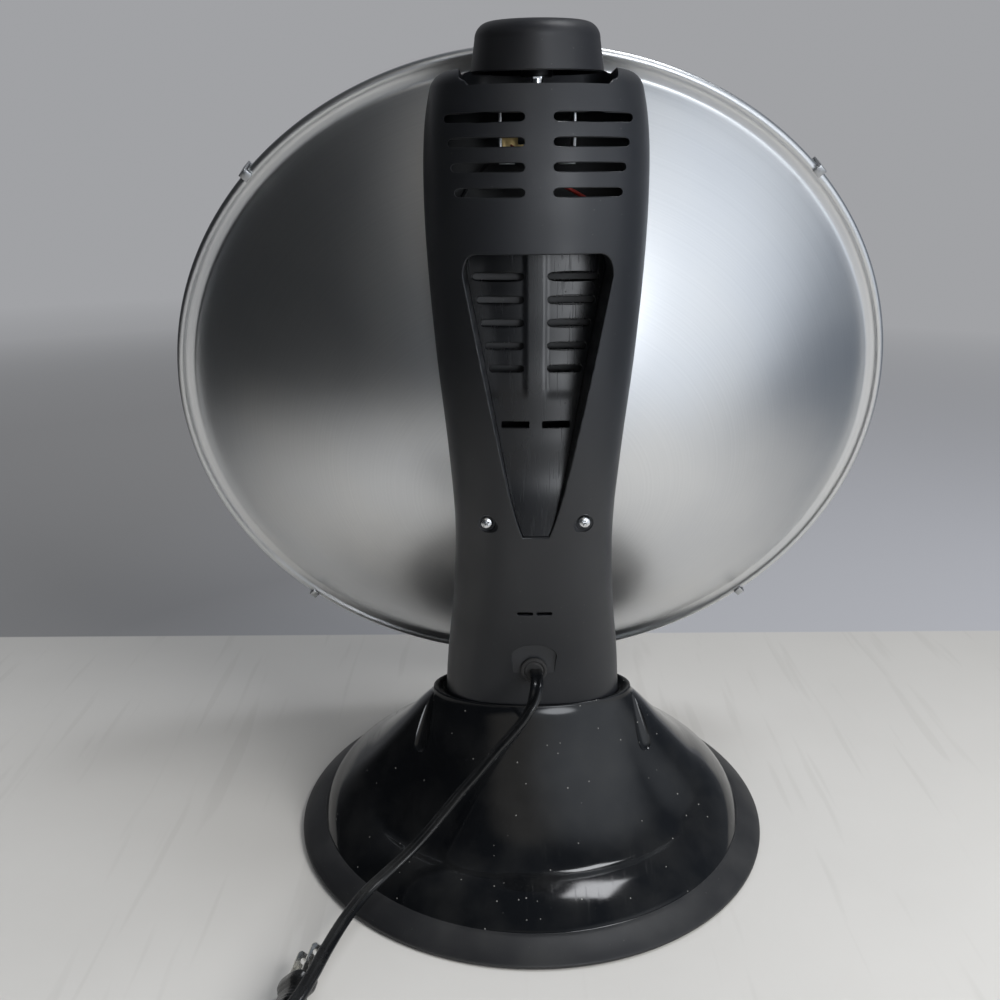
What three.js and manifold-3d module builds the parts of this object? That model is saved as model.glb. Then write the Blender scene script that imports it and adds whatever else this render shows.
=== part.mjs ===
// A parabolic dish heater on a bell-shaped base, seen as an assembly of separate pieces.
// Millimetres, +Z up. The origin is the middle of the circle that the heater stands on.
// The dish faces -Y. The carry handle, the cord and the vent slots are on the +Y side.
import * as THREE from 'three';
import { mergeVertices } from 'three/addons/utils/BufferGeometryUtils.js';
import Module from 'manifold-3d';

const wasm = await Module();
wasm.setup();

// ---------------------------------------------------------------- driving dimensions

// Clearances
const seatGap = 0.3;
const slideGap = 0.2;
const screwHoleGap = 0.3;

// Base: a glossy bell inside a matte skirt
const baseRadius = 142;
const baseEdgeHeight = 2.2;
const baseLift = 1.2;
const bellRadius = 127.7;
const bellFootHeight = 10.3;
const baseWall = 2.6;
const neckHalfAngle = 52;
const shoulderHalfAngle = 84;
const collarHalfWidth = 57.3;
const collarHalfDepth = 26.7;
const collarTop = 100;
const seatDepth = 5;
const seatThickness = 3;
const wireHoleHalfWidth = 20;
const wireHoleHalfDepth = 9;
const fluteWidth = 7;
const fluteDepth = 1.7;
const fluteLength = 46;
const fluteSideX = 56.5;
const fluteSetback = 5;
const bellSides = 32;
const liningSides = 18;

// Base plate, feet and the screws below
const plateThickness = 1.2;
const plateEdgeGap = 6.6;
const plateBeadRadius = 62;
const plateBeadHeight = 2;
const footRadius = 9;
const footHeight = 2.7;
const footInset = 24;
const plateScrewInset = 42;
const bossRadius = 4.6;
const screwRadius = 1.6;
const screwHeadRadius = 3.6;
const screwHeadHeight = 1.4;
const plateScrewLength = 10;
const footScrewLength = 17;
const footScrewX = 30;
const footScrewInset = 10.5;

// Column: two moulded shells, given at stations from the foot (0) to the top (1)
const columnHeight = 330;
const columnFootY = 26;
const columnFootHalfWidth = 50;
const columnWaistHalfWidth = 41.3;
const columnHeadHalfWidth = 51.5;
const columnFootHalfDepth = 24;
const columnHeadReach = 79.5;
const columnWall = 2.6;
const columnTopRounding = 7;
const columnSquareness = 2.3;
const frontSquareness = 2.8;
const columnSides = 24;
const columnLiningSides = 16;
const dishClearance = 3;
const dishClearanceTop = 9;

// Upper vent slots
const slotRows = 4;
const slotPitch = 10.57;
const slotHeight = 4;
const slotInnerX = 6;
const slotOuterX = 40.7;
const slotOuterStep = 1.4;
const slotTopDrop = 19.3;

// Carry-handle opening and the panel inside it
const handleTopDrop = 77;
const handleTopHalfWidth = 33.2;
const handleLowerHalfWidth = 13.3;
const handleTipDrop = 215;
const handleLowerDrop = 190;
const handleCornerRadius = 7;
const handleWall = 2;
const panelSink = 39;
const panelThickness = 2;
const panelCrown = 3;
const panelSlotRows = 5;
const panelSlotPitch = 10.9;
const panelSlotHeight = 4;
const panelSlotInnerX = 8;
const panelSlotTopDrop = 12.5;
const panelLowSlotDrop = 82.5;
const panelLowSlotInnerX = 4.6;
const panelLowSlotWidth = 13;

// Screws that hold the shells together
const shellScrewX = 24.3;
const shellScrewDrop = 209;
const shellScrewLength = 32;
const counterboreRadius = 4.6;
const counterboreDepth = 3.6;
const shellPostRadius = 6.4;

// Knob, pocket and thermostat
const knobRadius = 29.3;
const knobTopRadius = 27.4;
const knobHeight = 22.5;
const knobRounding = 7;
const knobWall = 2.4;
const knobHubRadius = 7;
const knobLean = 3;
const knobAxisY = 73.5;
const knobLift = 3.4;
const pocketHalfWidth = 34;
const pocketSideGap = 2;
const pocketLipDrop = 5.5;
const pocketFloorDrop = 9.5;
const pocketCornerRadius = 12;
const shaftRadius = 3;
const shaftLength = 36;
const shaftFlat = 2.2;
const bushRadius = 4.75;
const nutRadius = 7.6;
const nutHeight = 2.4;
const thermostatWidth = 34;
const thermostatDepth = 20;
const thermostatHeight = 26;
const thermostatSheet = 1.2;

// Cord exit
const reliefHeight = 29;
const reliefFlangeRadius = 7.35;
const reliefFlangeHeight = 2.4;
const reliefNeckRadius = 5.4;
const reliefTailRadius = 4.6;
const reliefLength = 22;
const cordExitX = -1.2;
const reliefPadHalfWidth = 13;
const reliefPadHeight = 12;
const reliefPadDrop = 13;
const reliefPadThickness = 3;

// Low slot over the buzzer
const lowSlotHeight = 66;
const lowSlotHalfWidth = 9.2;
const lowSlotOpening = 2;
const lowSlotWeb = 2.5;
const buzzerRadius = 10;
const buzzerDepth = 7;

// Reflector dish
const dishRadius = 209.5;
const dishTilt = 20.47;
const dishWall = 1.2;
const dishDepth = 88.5;
const dishFlat = 32;
const rimBeadRadius = 2.6;
const rimBandWidth = 5;
const dishVertexY = 37.55;
const dishVertexZ = 214.5;
const dishSides = 36;
const dishHoleRadius = 17;
const seatRingRadius = 31;
const seatRingDepth = 15;
const dishScrewCircle = 25.5;
const dishScrewLength = 9;
const clampRadius = 30.5;
const clampThickness = 1.4;

// Socket and heating element, along the dish axis
const socketRadius = 16.5;
const socketLength = 24;
const socketWall = 2.8;
const socketFlangeRadius = 20.6;
const socketFlangeHeight = 3;
const screwShellLength = 16;
const coreFlangeRadius = 16;
const coreFlangeHeight = 6;
const coreRadius = 14.2;
const coreTipRadius = 11;
const coreLength = 106;
const elementTurns = 10;
const elementPitch = 7.8;
const elementWireRadius = 2.2;
const elementStart = 14;
const terminalWidth = 6.3;
const terminalThickness = 0.8;
const terminalLength = 7;
const terminalX = 8;
const tipNutRadius = 6;
const tipNutHeight = 4;

// Wire guard
const guardWireRadius = 1.25;
const guardHoopInset = 6.5;
const guardRise = 46;
const guardRings = 5;
const guardSpokes = 8;
const clipCount = 4;
const clipWidth = 9;
const clipSheet = 1;

// Tip-over sensor
const pivotHeight = 72;
const pivotY = 39;
const pendulumLength = 24;
const pendulumBobRadius = 6.5;
const pendulumWidth = 11;
const pinRadius = 1.5;
const tipFrameHalfWidth = 10.6;
const tipFrameReach = 9;
const tipFrameHeight = 14;
const tipFrameSheet = 1.2;
const sensorPostX = 17;
const reedRadius = 1.3;
const reedLegRadius = 0.4;
const leadRadius = 1.1;

// Mains cord and plug
const cordWidth = 7;
const cordThickness = 3.8;
const leadSteps = 34;
const coilCentreX = 175;
const coilCentreY = 246;
const coilInnerRadius = 26.2;
const coilTurnsPerLayer = 2.875;
const coilTurnGap = 0.65;
const coilLayerGap = 0.6;
const coilFloor = 1;
const coilStepsPerTurn = 20;
const tieThickness = 0.6;
const tieWidth = 8;
const plugFaceX = 115.7;
const plugFaceY = 161.5;
const plugFaceZ = 13.4;
const plugLength = 27;
const plugSpan = 24;
const plugDepth = 14;
const bladeSpacing = 12.7;
const bladeLength = 17;
const bladeThickness = 1.5;
const bladeWidth = 6.35;
const wideBladeWidth = 7.9;
const bladeHoleRadius = 1.6;

// ---------------------------------------------------------------- materials

const standard = (color, roughness, metalness) => new THREE.MeshStandardMaterial({ color, roughness, metalness });
const finishes = {
  mattePlastic: standard(0x24262a, 0.62, 0),
  glossPlastic: standard(0x0d0e10, 0.14, 0),
  aluminium: standard(0xb9bcc0, 0.34, 1),
  steel: standard(0x9a9c9f, 0.38, 1),
  brass: standard(0xb5904c, 0.35, 1),
  chrome: standard(0xc9ccd0, 0.18, 1),
  porcelain: standard(0xe6e1d4, 0.5, 0),
  resistanceWire: standard(0x6d5a4e, 0.55, 1),
  rubber: standard(0x1a1a1b, 0.85, 0),
  cordJacket: standard(0x101113, 0.32, 0),
  redLead: standard(0x8d1d18, 0.5, 0),
  whiteLead: standard(0xd8d6cf, 0.5, 0),
};

// ---------------------------------------------------------------- geometry helpers

const degrees = Math.PI / 180;
const heater = new THREE.Group();

// Adds one named piece to a group of the assembly.
function addPiece(name, shape, finish, parent = heater) {
  const geometry = shape.isBufferGeometry ? shape : geometryOf(shape);
  const mesh = new THREE.Mesh(geometry, finish.clone());
  mesh.name = name;
  parent.add(mesh);
  return mesh;
}

// Turns a closed geometry into a solid that can be cut and joined.
function solidOf(geometry) {
  const bare = geometry.clone();
  bare.deleteAttribute('normal');
  bare.deleteAttribute('uv');
  const merged = mergeVertices(bare, 1e-4);
  const vertProperties = new Float32Array(merged.attributes.position.array);
  const triVerts = new Uint32Array(merged.index.array);
  return new wasm.Manifold(new wasm.Mesh({ numProp: 3, vertProperties, triVerts }));
}

// Turns a solid back into a geometry with one shared vertex at each corner.
function geometryOf(solid) {
  const mesh = solid.getMesh();
  const geometry = new THREE.BufferGeometry();
  geometry.setAttribute('position', new THREE.BufferAttribute(new Float32Array(mesh.vertProperties), 3));
  geometry.setIndex(new THREE.BufferAttribute(new Uint32Array(mesh.triVerts), 1));
  geometry.computeVertexNormals();
  return geometry;
}

// A group's placement, used to cut a neighbour with a shape that belongs to the group.
function placedLike(group, geometry) {
  group.updateMatrix();
  return geometry.clone().applyMatrix4(group.matrix);
}

const box = (x0, x1, y0, y1, z0, z1) =>
  new THREE.BoxGeometry(x1 - x0, y1 - y0, z1 - z0).translate((x0 + x1) / 2, (y0 + y1) / 2, (z0 + z1) / 2);

// A cylinder along Z from one height to the other.
const postZ = (radius, x, y, z0, z1, sides = 20) =>
  new THREE.CylinderGeometry(radius, radius, z1 - z0, sides).rotateX(Math.PI / 2).translate(x, y, (z0 + z1) / 2);

// A cylinder along Y from one depth to the other.
const postY = (radius, x, z, y0, y1, sides = 20) =>
  new THREE.CylinderGeometry(radius, radius, y1 - y0, sides).translate(x, (y0 + y1) / 2, z);

// A cylinder along X from one side to the other.
const postX = (radius, y, z, x0, x1, sides = 20) =>
  new THREE.CylinderGeometry(radius, radius, x1 - x0, sides).rotateZ(Math.PI / 2).translate((x0 + x1) / 2, y, z);

// A revolved piece about Z from [radius, height] pairs, listed so that its faces point outwards.
function revolve(profile, sides) {
  const points = profile.map(([radius, height]) => new THREE.Vector2(radius, height));
  return new THREE.LatheGeometry(points, sides).rotateX(Math.PI / 2);
}

// A closed profile that keeps clear of the axis, revolved about Z.
const revolveRing = (profile, sides) => revolve([...profile, profile[0]], sides);

// A shape in the X-Z plane pushed along Y between two depths.
function extrudeAlongY(shape, y0, y1, curveSegments = 6) {
  const geometry = new THREE.ExtrudeGeometry(shape, { depth: y1 - y0, bevelEnabled: false, curveSegments });
  return geometry.rotateX(Math.PI / 2).translate(0, y1, 0);
}

// A shape in the X-Y plane pushed up along Z between two heights.
function extrudeAlongZ(shape, z0, z1, curveSegments = 6) {
  const geometry = new THREE.ExtrudeGeometry(shape, { depth: z1 - z0, bevelEnabled: false, curveSegments });
  return geometry.translate(0, 0, z0);
}

// An outline in the Y-Z plane pushed along X, the same distance to both sides.
function extrudeAlongX(outline, halfWidth, holes = []) {
  const shape = new THREE.Shape(outline.map(([y, z]) => new THREE.Vector2(y, z)));
  shape.holes = holes;
  const geometry = new THREE.ExtrudeGeometry(shape, { depth: 2 * halfWidth, bevelEnabled: false, curveSegments: 10 });
  return geometry.rotateZ(Math.PI / 2).rotateY(Math.PI / 2).translate(-halfWidth, 0, 0);
}

// Rings of equal length, first to last, closed by a fan at each end.
function loft(rings) {
  const count = rings[0].length;
  const positions = rings.flat().flatMap((point) => [point.x, point.y, point.z]);
  const index = [];
  for (let ring = 0; ring < rings.length - 1; ring += 1) {
    for (let side = 0; side < count; side += 1) {
      const next = (side + 1) % count;
      const a = ring * count + side;
      const b = ring * count + next;
      index.push(a, b, b + count, a, b + count, a + count);
    }
  }
  const addCap = (ring, flipped) => {
    const centre = ring.reduce((sum, point) => sum.add(point), new THREE.Vector3()).divideScalar(count);
    const middle = positions.length / 3;
    positions.push(centre.x, centre.y, centre.z);
    const start = rings.indexOf(ring) * count;
    for (let side = 0; side < count; side += 1) {
      const next = (side + 1) % count;
      if (flipped) index.push(middle, start + next, start + side);
      else index.push(middle, start + side, start + next);
    }
  };
  addCap(rings[0], true);
  addCap(rings[rings.length - 1], false);
  const geometry = new THREE.BufferGeometry();
  geometry.setAttribute('position', new THREE.Float32BufferAttribute(positions, 3));
  geometry.setIndex(index);
  return geometry;
}

// A smooth curve through [position, value] stations, as a function of position.
function smoothLine(stations) {
  const slopeAt = (i) => {
    const before = stations[Math.max(i - 1, 0)];
    const after = stations[Math.min(i + 1, stations.length - 1)];
    return (after[1] - before[1]) / (after[0] - before[0]);
  };
  return (position) => {
    let i = 0;
    while (i < stations.length - 2 && position > stations[i + 1][0]) i += 1;
    const [start, from] = stations[i];
    const [end, to] = stations[i + 1];
    const span = end - start;
    const t = THREE.MathUtils.clamp((position - start) / span, -0.05, 1.05);
    const t2 = t * t;
    const t3 = t2 * t;
    const bend = (t3 - 2 * t2 + t) * slopeAt(i) + (t3 - t2) * slopeAt(i + 1);
    return (2 * t3 - 3 * t2 + 1) * from + (3 * t2 - 2 * t3) * to + bend * span;
  };
}

// A stadium-shaped slot outline between two X positions, centred on a height.
function slotOutline(x0, x1, z, height) {
  const radius = height / 2;
  const shape = new THREE.Shape();
  shape.moveTo(x0 + radius, z - radius);
  shape.lineTo(x1 - radius, z - radius);
  shape.absarc(x1 - radius, z, radius, -Math.PI / 2, Math.PI / 2, false);
  shape.lineTo(x0 + radius, z + radius);
  shape.absarc(x0 + radius, z, radius, Math.PI / 2, (3 * Math.PI) / 2, false);
  return shape;
}

// A pan-head screw along +Z: the head's underside is at zero and the shank runs up.
function panScrew(length, headRadius = screwHeadRadius, sides = 8) {
  return revolve(
    [
      [0, length],
      [screwRadius, length - 2.5],
      [screwRadius, 0],
      [headRadius, 0],
      [headRadius * 0.6, -screwHeadHeight],
      [0, -screwHeadHeight],
    ].reverse(),
    sides,
  );
}

// A tube of one section along hand-placed points, with a straight length at each end.
function tube(points, section, steps) {
  const path = new THREE.CatmullRomCurve3(points.map(([x, y, z]) => new THREE.Vector3(x, y, z)), false, 'centripetal');
  return new THREE.ExtrudeGeometry(section, { steps, bevelEnabled: false, extrudePath: path });
}

// A regular outline of a few sides, or a flattened one.
function sideOutline(halfAcross, halfUp, sides) {
  const points = [];
  for (let side = 0; side < sides; side += 1) {
    const angle = ((side + 0.5) / sides) * 2 * Math.PI;
    points.push(new THREE.Vector2(halfAcross * Math.cos(angle), halfUp * Math.sin(angle)));
  }
  return new THREE.Shape(points);
}

// ---------------------------------------------------------------- shared places

const columnFoot = collarTop - seatDepth + seatGap;
const columnTop = columnFoot + columnHeight;
const heightAt = (share) => columnFoot + share * columnHeight;

// The dish's own group: its axis is local +Z and points out of the bowl.
const dishGroup = new THREE.Group();
dishGroup.position.set(0, dishVertexY, dishVertexZ);
dishGroup.rotation.x = (90 - dishTilt) * degrees;
const dishOut = new THREE.Vector3(0, -Math.cos(dishTilt * degrees), Math.sin(dishTilt * degrees));
const dishUp = new THREE.Vector3(0, Math.sin(dishTilt * degrees), Math.cos(dishTilt * degrees));
const bowlRadius = dishRadius - 2 * rimBeadRadius - rimBandWidth;

// How far the back of the bowl has come forward at a distance from its axis.
const bowlRise = (radius) =>
  dishDepth * Math.max(0, (radius ** 2 - dishFlat ** 2) / (bowlRadius ** 2 - dishFlat ** 2));

// A point on the back of the bowl, on the middle plane, as [height, depth].
function bowlBack(radius) {
  const rise = bowlRise(Math.abs(radius));
  return [
    dishVertexZ + dishOut.z * rise + dishUp.z * radius,
    dishVertexY + dishOut.y * rise + dishUp.y * radius,
  ];
}

// The knob's own group: its axis is local +Z, leaning a little to the rear.
const knobGroup = new THREE.Group();
knobGroup.position.set(0, knobAxisY, columnTop - pocketLipDrop + knobLift);
knobGroup.rotation.x = -knobLean * degrees;
const floorFromKnob = pocketLipDrop - knobLift - pocketFloorDrop;

// Half-width, widest line and rear line of the column at stations up its height.
const belowWaist = (share) => THREE.MathUtils.lerp(columnWaistHalfWidth, columnFootHalfWidth, share);
const aboveWaist = (share) => THREE.MathUtils.lerp(columnWaistHalfWidth, columnHeadHalfWidth, share);
const columnHalfWidth = smoothLine([
  [heightAt(0), columnFootHalfWidth],
  [heightAt(0.09), belowWaist(0.747)],
  [heightAt(0.2), belowWaist(0.299)],
  [heightAt(0.335), columnWaistHalfWidth],
  [heightAt(0.47), aboveWaist(0.216)],
  [heightAt(0.62), aboveWaist(0.657)],
  [heightAt(0.77), aboveWaist(0.951)],
  [heightAt(0.91), columnHeadHalfWidth],
  [heightAt(1), aboveWaist(0.853)],
]);

// A depth behind the middle of the column's foot, as a share of how far the head reaches back.
const behindFoot = (share) => columnFootY + columnHeadReach * share;
const columnMiddle = smoothLine([
  [heightAt(0), columnFootY],
  [heightAt(0.2), behindFoot(0.157)],
  [heightAt(0.36), behindFoot(0.308)],
  [heightAt(0.62), behindFoot(0.4465)],
  [heightAt(1), behindFoot(0.44)],
]);
const columnRear = smoothLine([
  [heightAt(0), columnFootY + columnFootHalfDepth],
  [heightAt(0.09), behindFoot(0.39)],
  [heightAt(0.2), behindFoot(0.528)],
  [heightAt(0.365), behindFoot(0.73)],
  [heightAt(0.5), behindFoot(0.88)],
  [heightAt(0.62), behindFoot(0.962)],
  [heightAt(0.78), behindFoot(1)],
  [heightAt(0.9), behindFoot(0.994)],
  [heightAt(1), behindFoot(0.937)],
]);

// The front shell follows the back of the bowl from just below its middle upwards.
const frontFollows = [-0.05, 0.11, 0.26, 0.41, 0.56, 0.75].map((share) => {
  const [height, depth] = bowlBack(share * bowlRadius);
  return [height, depth + dishClearance];
});
const topBack = bowlBack(bowlRadius * 0.96);
const columnFront = smoothLine([
  [heightAt(0), columnFootY - columnFootHalfDepth],
  [heightAt(0.17), columnFootY - columnFootHalfDepth / 3],
  ...frontFollows,
  [columnTop, topBack[1] + dishClearanceTop],
]);

// One ring round the column at a height, drawn in all round by an inset.
function columnRing(height, inset, sides = columnSides) {
  const points = [];
  const halfWidth = columnHalfWidth(height) - inset;
  const middle = columnMiddle(height);
  const rear = columnRear(height) - inset - middle;
  const front = middle - columnFront(height) - inset;
  for (let side = 0; side < sides; side += 1) {
    const angle = (side / sides) * 2 * Math.PI;
    const across = Math.cos(angle);
    const back = Math.sin(angle);
    const power = 2 / (back >= 0 ? columnSquareness : frontSquareness);
    const reach = back >= 0 ? rear : front;
    const x = halfWidth * Math.sign(across) * Math.abs(across) ** power;
    const y = reach * Math.sign(back) * Math.abs(back) ** power;
    points.push(new THREE.Vector3(x, middle + y, height));
  }
  return points;
}

// ---------------------------------------------------------------- base

const neckLine = smoothLine([
  [0, 0.97 * collarTop],
  [0.12, 0.82 * collarTop],
  [0.28, 0.61 * collarTop],
  [0.5, 0.355 * collarTop],
  [0.72, 0.205 * collarTop],
  [0.88, 0.138 * collarTop],
  [1, baseLift + bellFootHeight],
]);
const shoulderLine = smoothLine([
  [0, 0.97 * collarTop],
  [0.12, 0.87 * collarTop],
  [0.3, 0.71 * collarTop],
  [0.55, 0.51 * collarTop],
  [0.74, 0.38 * collarTop],
  [0.88, 0.27 * collarTop],
  [0.96, 0.185 * collarTop],
  [1, baseLift + bellFootHeight],
]);

// One ring of the bell at a share of the way from the collar out to the skirt.
function bellRing(share, inset, drop, sides = bellSides) {
  const points = [];
  for (let side = 0; side < sides; side += 1) {
    const angle = (side / sides) * 2 * Math.PI;
    const across = Math.cos(angle);
    const back = Math.sin(angle);
    const fromRear = Math.abs(Math.atan2(across, back)) / degrees;
    const shoulder = THREE.MathUtils.smoothstep(fromRear, neckHalfAngle, shoulderHalfAngle);
    const height = THREE.MathUtils.lerp(neckLine(share), shoulderLine(share), shoulder);
    const x = THREE.MathUtils.lerp((collarHalfWidth - inset) * across, (bellRadius - inset) * across, share);
    const collarY = columnFootY + (collarHalfDepth - inset) * back;
    const y = THREE.MathUtils.lerp(collarY, (bellRadius - inset) * back, share);
    points.push(new THREE.Vector3(x, y, height - drop));
  }
  return points;
}

// A level circle of the skirt, with the same number of points as the bell's rings.
function skirtRing(radius, height, sides = bellSides) {
  const points = [];
  for (let side = 0; side < sides; side += 1) {
    const angle = (side / sides) * 2 * Math.PI;
    points.push(new THREE.Vector3(radius * Math.cos(angle), radius * Math.sin(angle), height));
  }
  return points;
}

// A level ring of the collar.
function collarRing(inset, height, sides = bellSides) {
  return bellRing(0, inset, 0, sides).map((point) => new THREE.Vector3(point.x, point.y, height));
}

const bellShares = [1, 0.94, 0.84, 0.69, 0.52, 0.34, 0.15];
const liningShares = [0.9, 0.6, 0.25];
const skirtTop = baseLift + bellFootHeight;
const skirtEdge = baseLift + baseEdgeHeight;

// The whole outside of the base as one closed form.
const baseOutside = loft([
  skirtRing(baseRadius, baseLift),
  skirtRing(baseRadius, skirtEdge),
  skirtRing((baseRadius + bellRadius) / 2 + 0.6, (skirtEdge + skirtTop) / 2 + 0.7),
  ...bellShares.map((share) => bellRing(share, 0, 0)),
  collarRing(0, collarTop - 3),
  collarRing(0, collarTop - 0.6),
  collarRing(0.6, collarTop),
]);

const baseInside = loft([
  skirtRing(baseRadius - baseWall, baseLift - 1, liningSides),
  skirtRing(baseRadius - baseWall, skirtEdge - 0.6, liningSides),
  skirtRing(bellRadius - baseWall * 0.6, skirtTop - baseWall * 1.5, liningSides),
  ...liningShares.map((share) => bellRing(share, baseWall, baseWall * 1.1, liningSides)),
  collarRing(baseWall, collarTop - seatDepth - seatThickness, liningSides),
]);

function ovalOutline(halfWidth, halfDepth, centreY) {
  const shape = new THREE.Shape();
  shape.absellipse(0, centreY, halfWidth, halfDepth, 0, 2 * Math.PI, false);
  return shape;
}

const footScrewPlaces = [
  [footScrewX, columnFootY + columnFootHalfDepth - footScrewInset],
  [-footScrewX, columnFootY + columnFootHalfDepth - footScrewInset],
  [footScrewX, columnFootY - columnFootHalfDepth + footScrewInset],
  [-footScrewX, columnFootY - columnFootHalfDepth + footScrewInset],
];
const onCircle = (radius, index, count, turn) => {
  const angle = ((index + turn) / count) * 2 * Math.PI;
  return [radius * Math.cos(angle), radius * Math.sin(angle)];
};
const plateTop = footHeight + seatGap + plateThickness;
const plateScrewPlaces = [0, 1, 2, 3].map((index) => onCircle(baseRadius - plateScrewInset, index, 4, 0.5));
const seatFloor = collarTop - seatDepth;

function baseShell() {
  let shell = solidOf(baseOutside).subtract(solidOf(baseInside));
  for (const [x, y] of plateScrewPlaces) {
    const boss = solidOf(postZ(bossRadius, x, y, plateTop + seatGap, collarTop, 10)).intersect(solidOf(baseOutside));
    shell = shell.add(boss);
    const hole = postZ(screwRadius + screwHoleGap, x, y, baseLift, plateTop + plateScrewLength, 8);
    shell = shell.subtract(solidOf(hole));
  }
  const seatRings = [seatFloor, collarTop - 1, collarTop + 1].map((height) => columnRing(height, -1.5 * seatGap));
  shell = shell.subtract(solidOf(loft(seatRings)));
  const wireHole = ovalOutline(wireHoleHalfWidth, wireHoleHalfDepth, columnFootY);
  shell = shell.subtract(solidOf(extrudeAlongZ(wireHole, seatFloor - 20, seatFloor + 1, 6)));
  for (const [x, y] of footScrewPlaces) {
    shell = shell.subtract(solidOf(postZ(screwRadius + screwHoleGap, x, y, seatFloor - 20, seatFloor + 1, 8)));
  }
  for (const side of [-1, 1]) shell = shell.subtract(solidOf(fluteCutter(side)));
  return shell;
}

// A teardrop groove that starts beside the collar and deepens towards its round lower end.
function fluteCutter(side) {
  const radius = fluteWidth / 2;
  const drop = revolve(
    [
      [0, -radius],
      [radius * 0.72, -radius * 0.7],
      [radius, 0],
      [radius * 0.92, fluteLength * 0.25],
      [radius * 0.6, fluteLength * 0.65],
      [radius * 0.2, fluteLength * 0.95],
      [0, fluteLength],
    ],
    8,
  );
  const share = 0.34;
  const angle = 24 * degrees;
  const foot = new THREE.Vector3(
    side * THREE.MathUtils.lerp(collarHalfWidth * Math.cos(angle), bellRadius * Math.cos(angle), share),
    THREE.MathUtils.lerp(columnFootY + collarHalfDepth * Math.sin(angle), bellRadius * Math.sin(angle), share),
    0,
  );
  foot.z = (neckLine(share) + shoulderLine(share)) / 2 + radius - fluteDepth;
  const head = new THREE.Vector3(side * fluteSideX, columnFootY + fluteSetback, collarTop + radius * 0.3);
  const along = head.clone().sub(foot).normalize();
  const turn = new THREE.Quaternion().setFromUnitVectors(new THREE.Vector3(0, 0, 1), along);
  return drop.applyQuaternion(turn).translate(foot.x, foot.y, foot.z);
}

function basePlate() {
  const edge = baseRadius - baseWall - plateEdgeGap;
  const low = footHeight + seatGap;
  let plate = solidOf(
    revolve(
      [
        [0, low],
        [plateBeadRadius - 4, low],
        [plateBeadRadius, low + plateBeadHeight],
        [plateBeadRadius + 4, low],
        [edge, low],
        [edge, plateTop],
        [plateBeadRadius + 4.5, plateTop],
        [plateBeadRadius, plateTop + plateBeadHeight],
        [plateBeadRadius - 4.5, plateTop],
        [0, plateTop],
      ],
      20,
    ),
  );
  for (const [x, y] of plateScrewPlaces) {
    plate = plate.subtract(solidOf(postZ(screwRadius + screwHoleGap, x, y, 0, plateTop + 1, 8)));
  }
  return plate;
}

addPiece('base_shell', baseShell(), finishes.glossPlastic);
addPiece('base_plate', basePlate(), finishes.steel);

for (let index = 0; index < 4; index += 1) {
  const [x, y] = onCircle(baseRadius - footInset, index, 4, 0.25);
  const foot = revolve(
    [
      [0, 0],
      [footRadius - 0.8, 0],
      [footRadius, 0.8],
      [footRadius, footHeight],
      [0, footHeight],
    ],
    10,
  );
  addPiece(`rubber_foot_${index + 1}`, foot, finishes.rubber).position.set(x, y, 0);
  const [screwX, screwY] = plateScrewPlaces[index];
  const plateScrew = panScrew(plateScrewLength);
  addPiece(`base_plate_screw_${index + 1}`, plateScrew, finishes.steel).position.set(screwX, screwY, footHeight);
  const [jointX, jointY] = footScrewPlaces[index];
  const jointScrew = panScrew(footScrewLength);
  const underSeat = seatFloor - seatThickness - seatGap;
  addPiece(`column_foot_screw_${index + 1}`, jointScrew, finishes.steel).position.set(jointX, jointY, underSeat);
}

// ---------------------------------------------------------------- column shells

const stationShares = [0, 0.1, 0.21, 0.335, 0.47, 0.62, 0.77, 0.91];
const liningStations = [0, 0.17, 0.345, 0.5, 0.68, 0.84];

// The outside of the column with its rounded top.
function columnOutside() {
  const roundedFrom = columnTop - columnTopRounding;
  const rings = stationShares.map((share) => columnRing(heightAt(share), 0));
  for (const angle of [0, 40, 85]) {
    const shrink = columnTopRounding * (1 - Math.cos(angle * degrees));
    rings.push(columnRing(roundedFrom + columnTopRounding * Math.sin(angle * degrees), shrink));
  }
  return loft(rings);
}

// The hollow inside, open at the foot and closed below the pocket.
function columnInside() {
  const rings = liningStations.map((share) => columnRing(heightAt(share), columnWall, columnLiningSides));
  rings.unshift(columnRing(columnFoot - 1, columnWall, columnLiningSides));
  rings.splice(1, 1);
  rings.push(columnRing(columnTop - pocketFloorDrop - columnWall, columnWall, columnLiningSides));
  return loft(rings);
}

// Everything behind, or in front of, the parting line between the two shells.
function partingBlock(behind) {
  const shift = behind ? seatGap / 2 : -seatGap / 2;
  const far = behind ? 200 : -200;
  const line = [-0.1, 0, 0.1, 0.2, 0.36, 0.5, 0.62, 0.8, 1, 1.1];
  const edge = line.map((share) => [columnMiddle(heightAt(share)) + shift, heightAt(share)]);
  const outline = [...edge, [far, heightAt(1.1)], [far, heightAt(-0.1)]];
  return extrudeAlongX(behind ? outline : outline.reverse(), 100);
}

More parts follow.
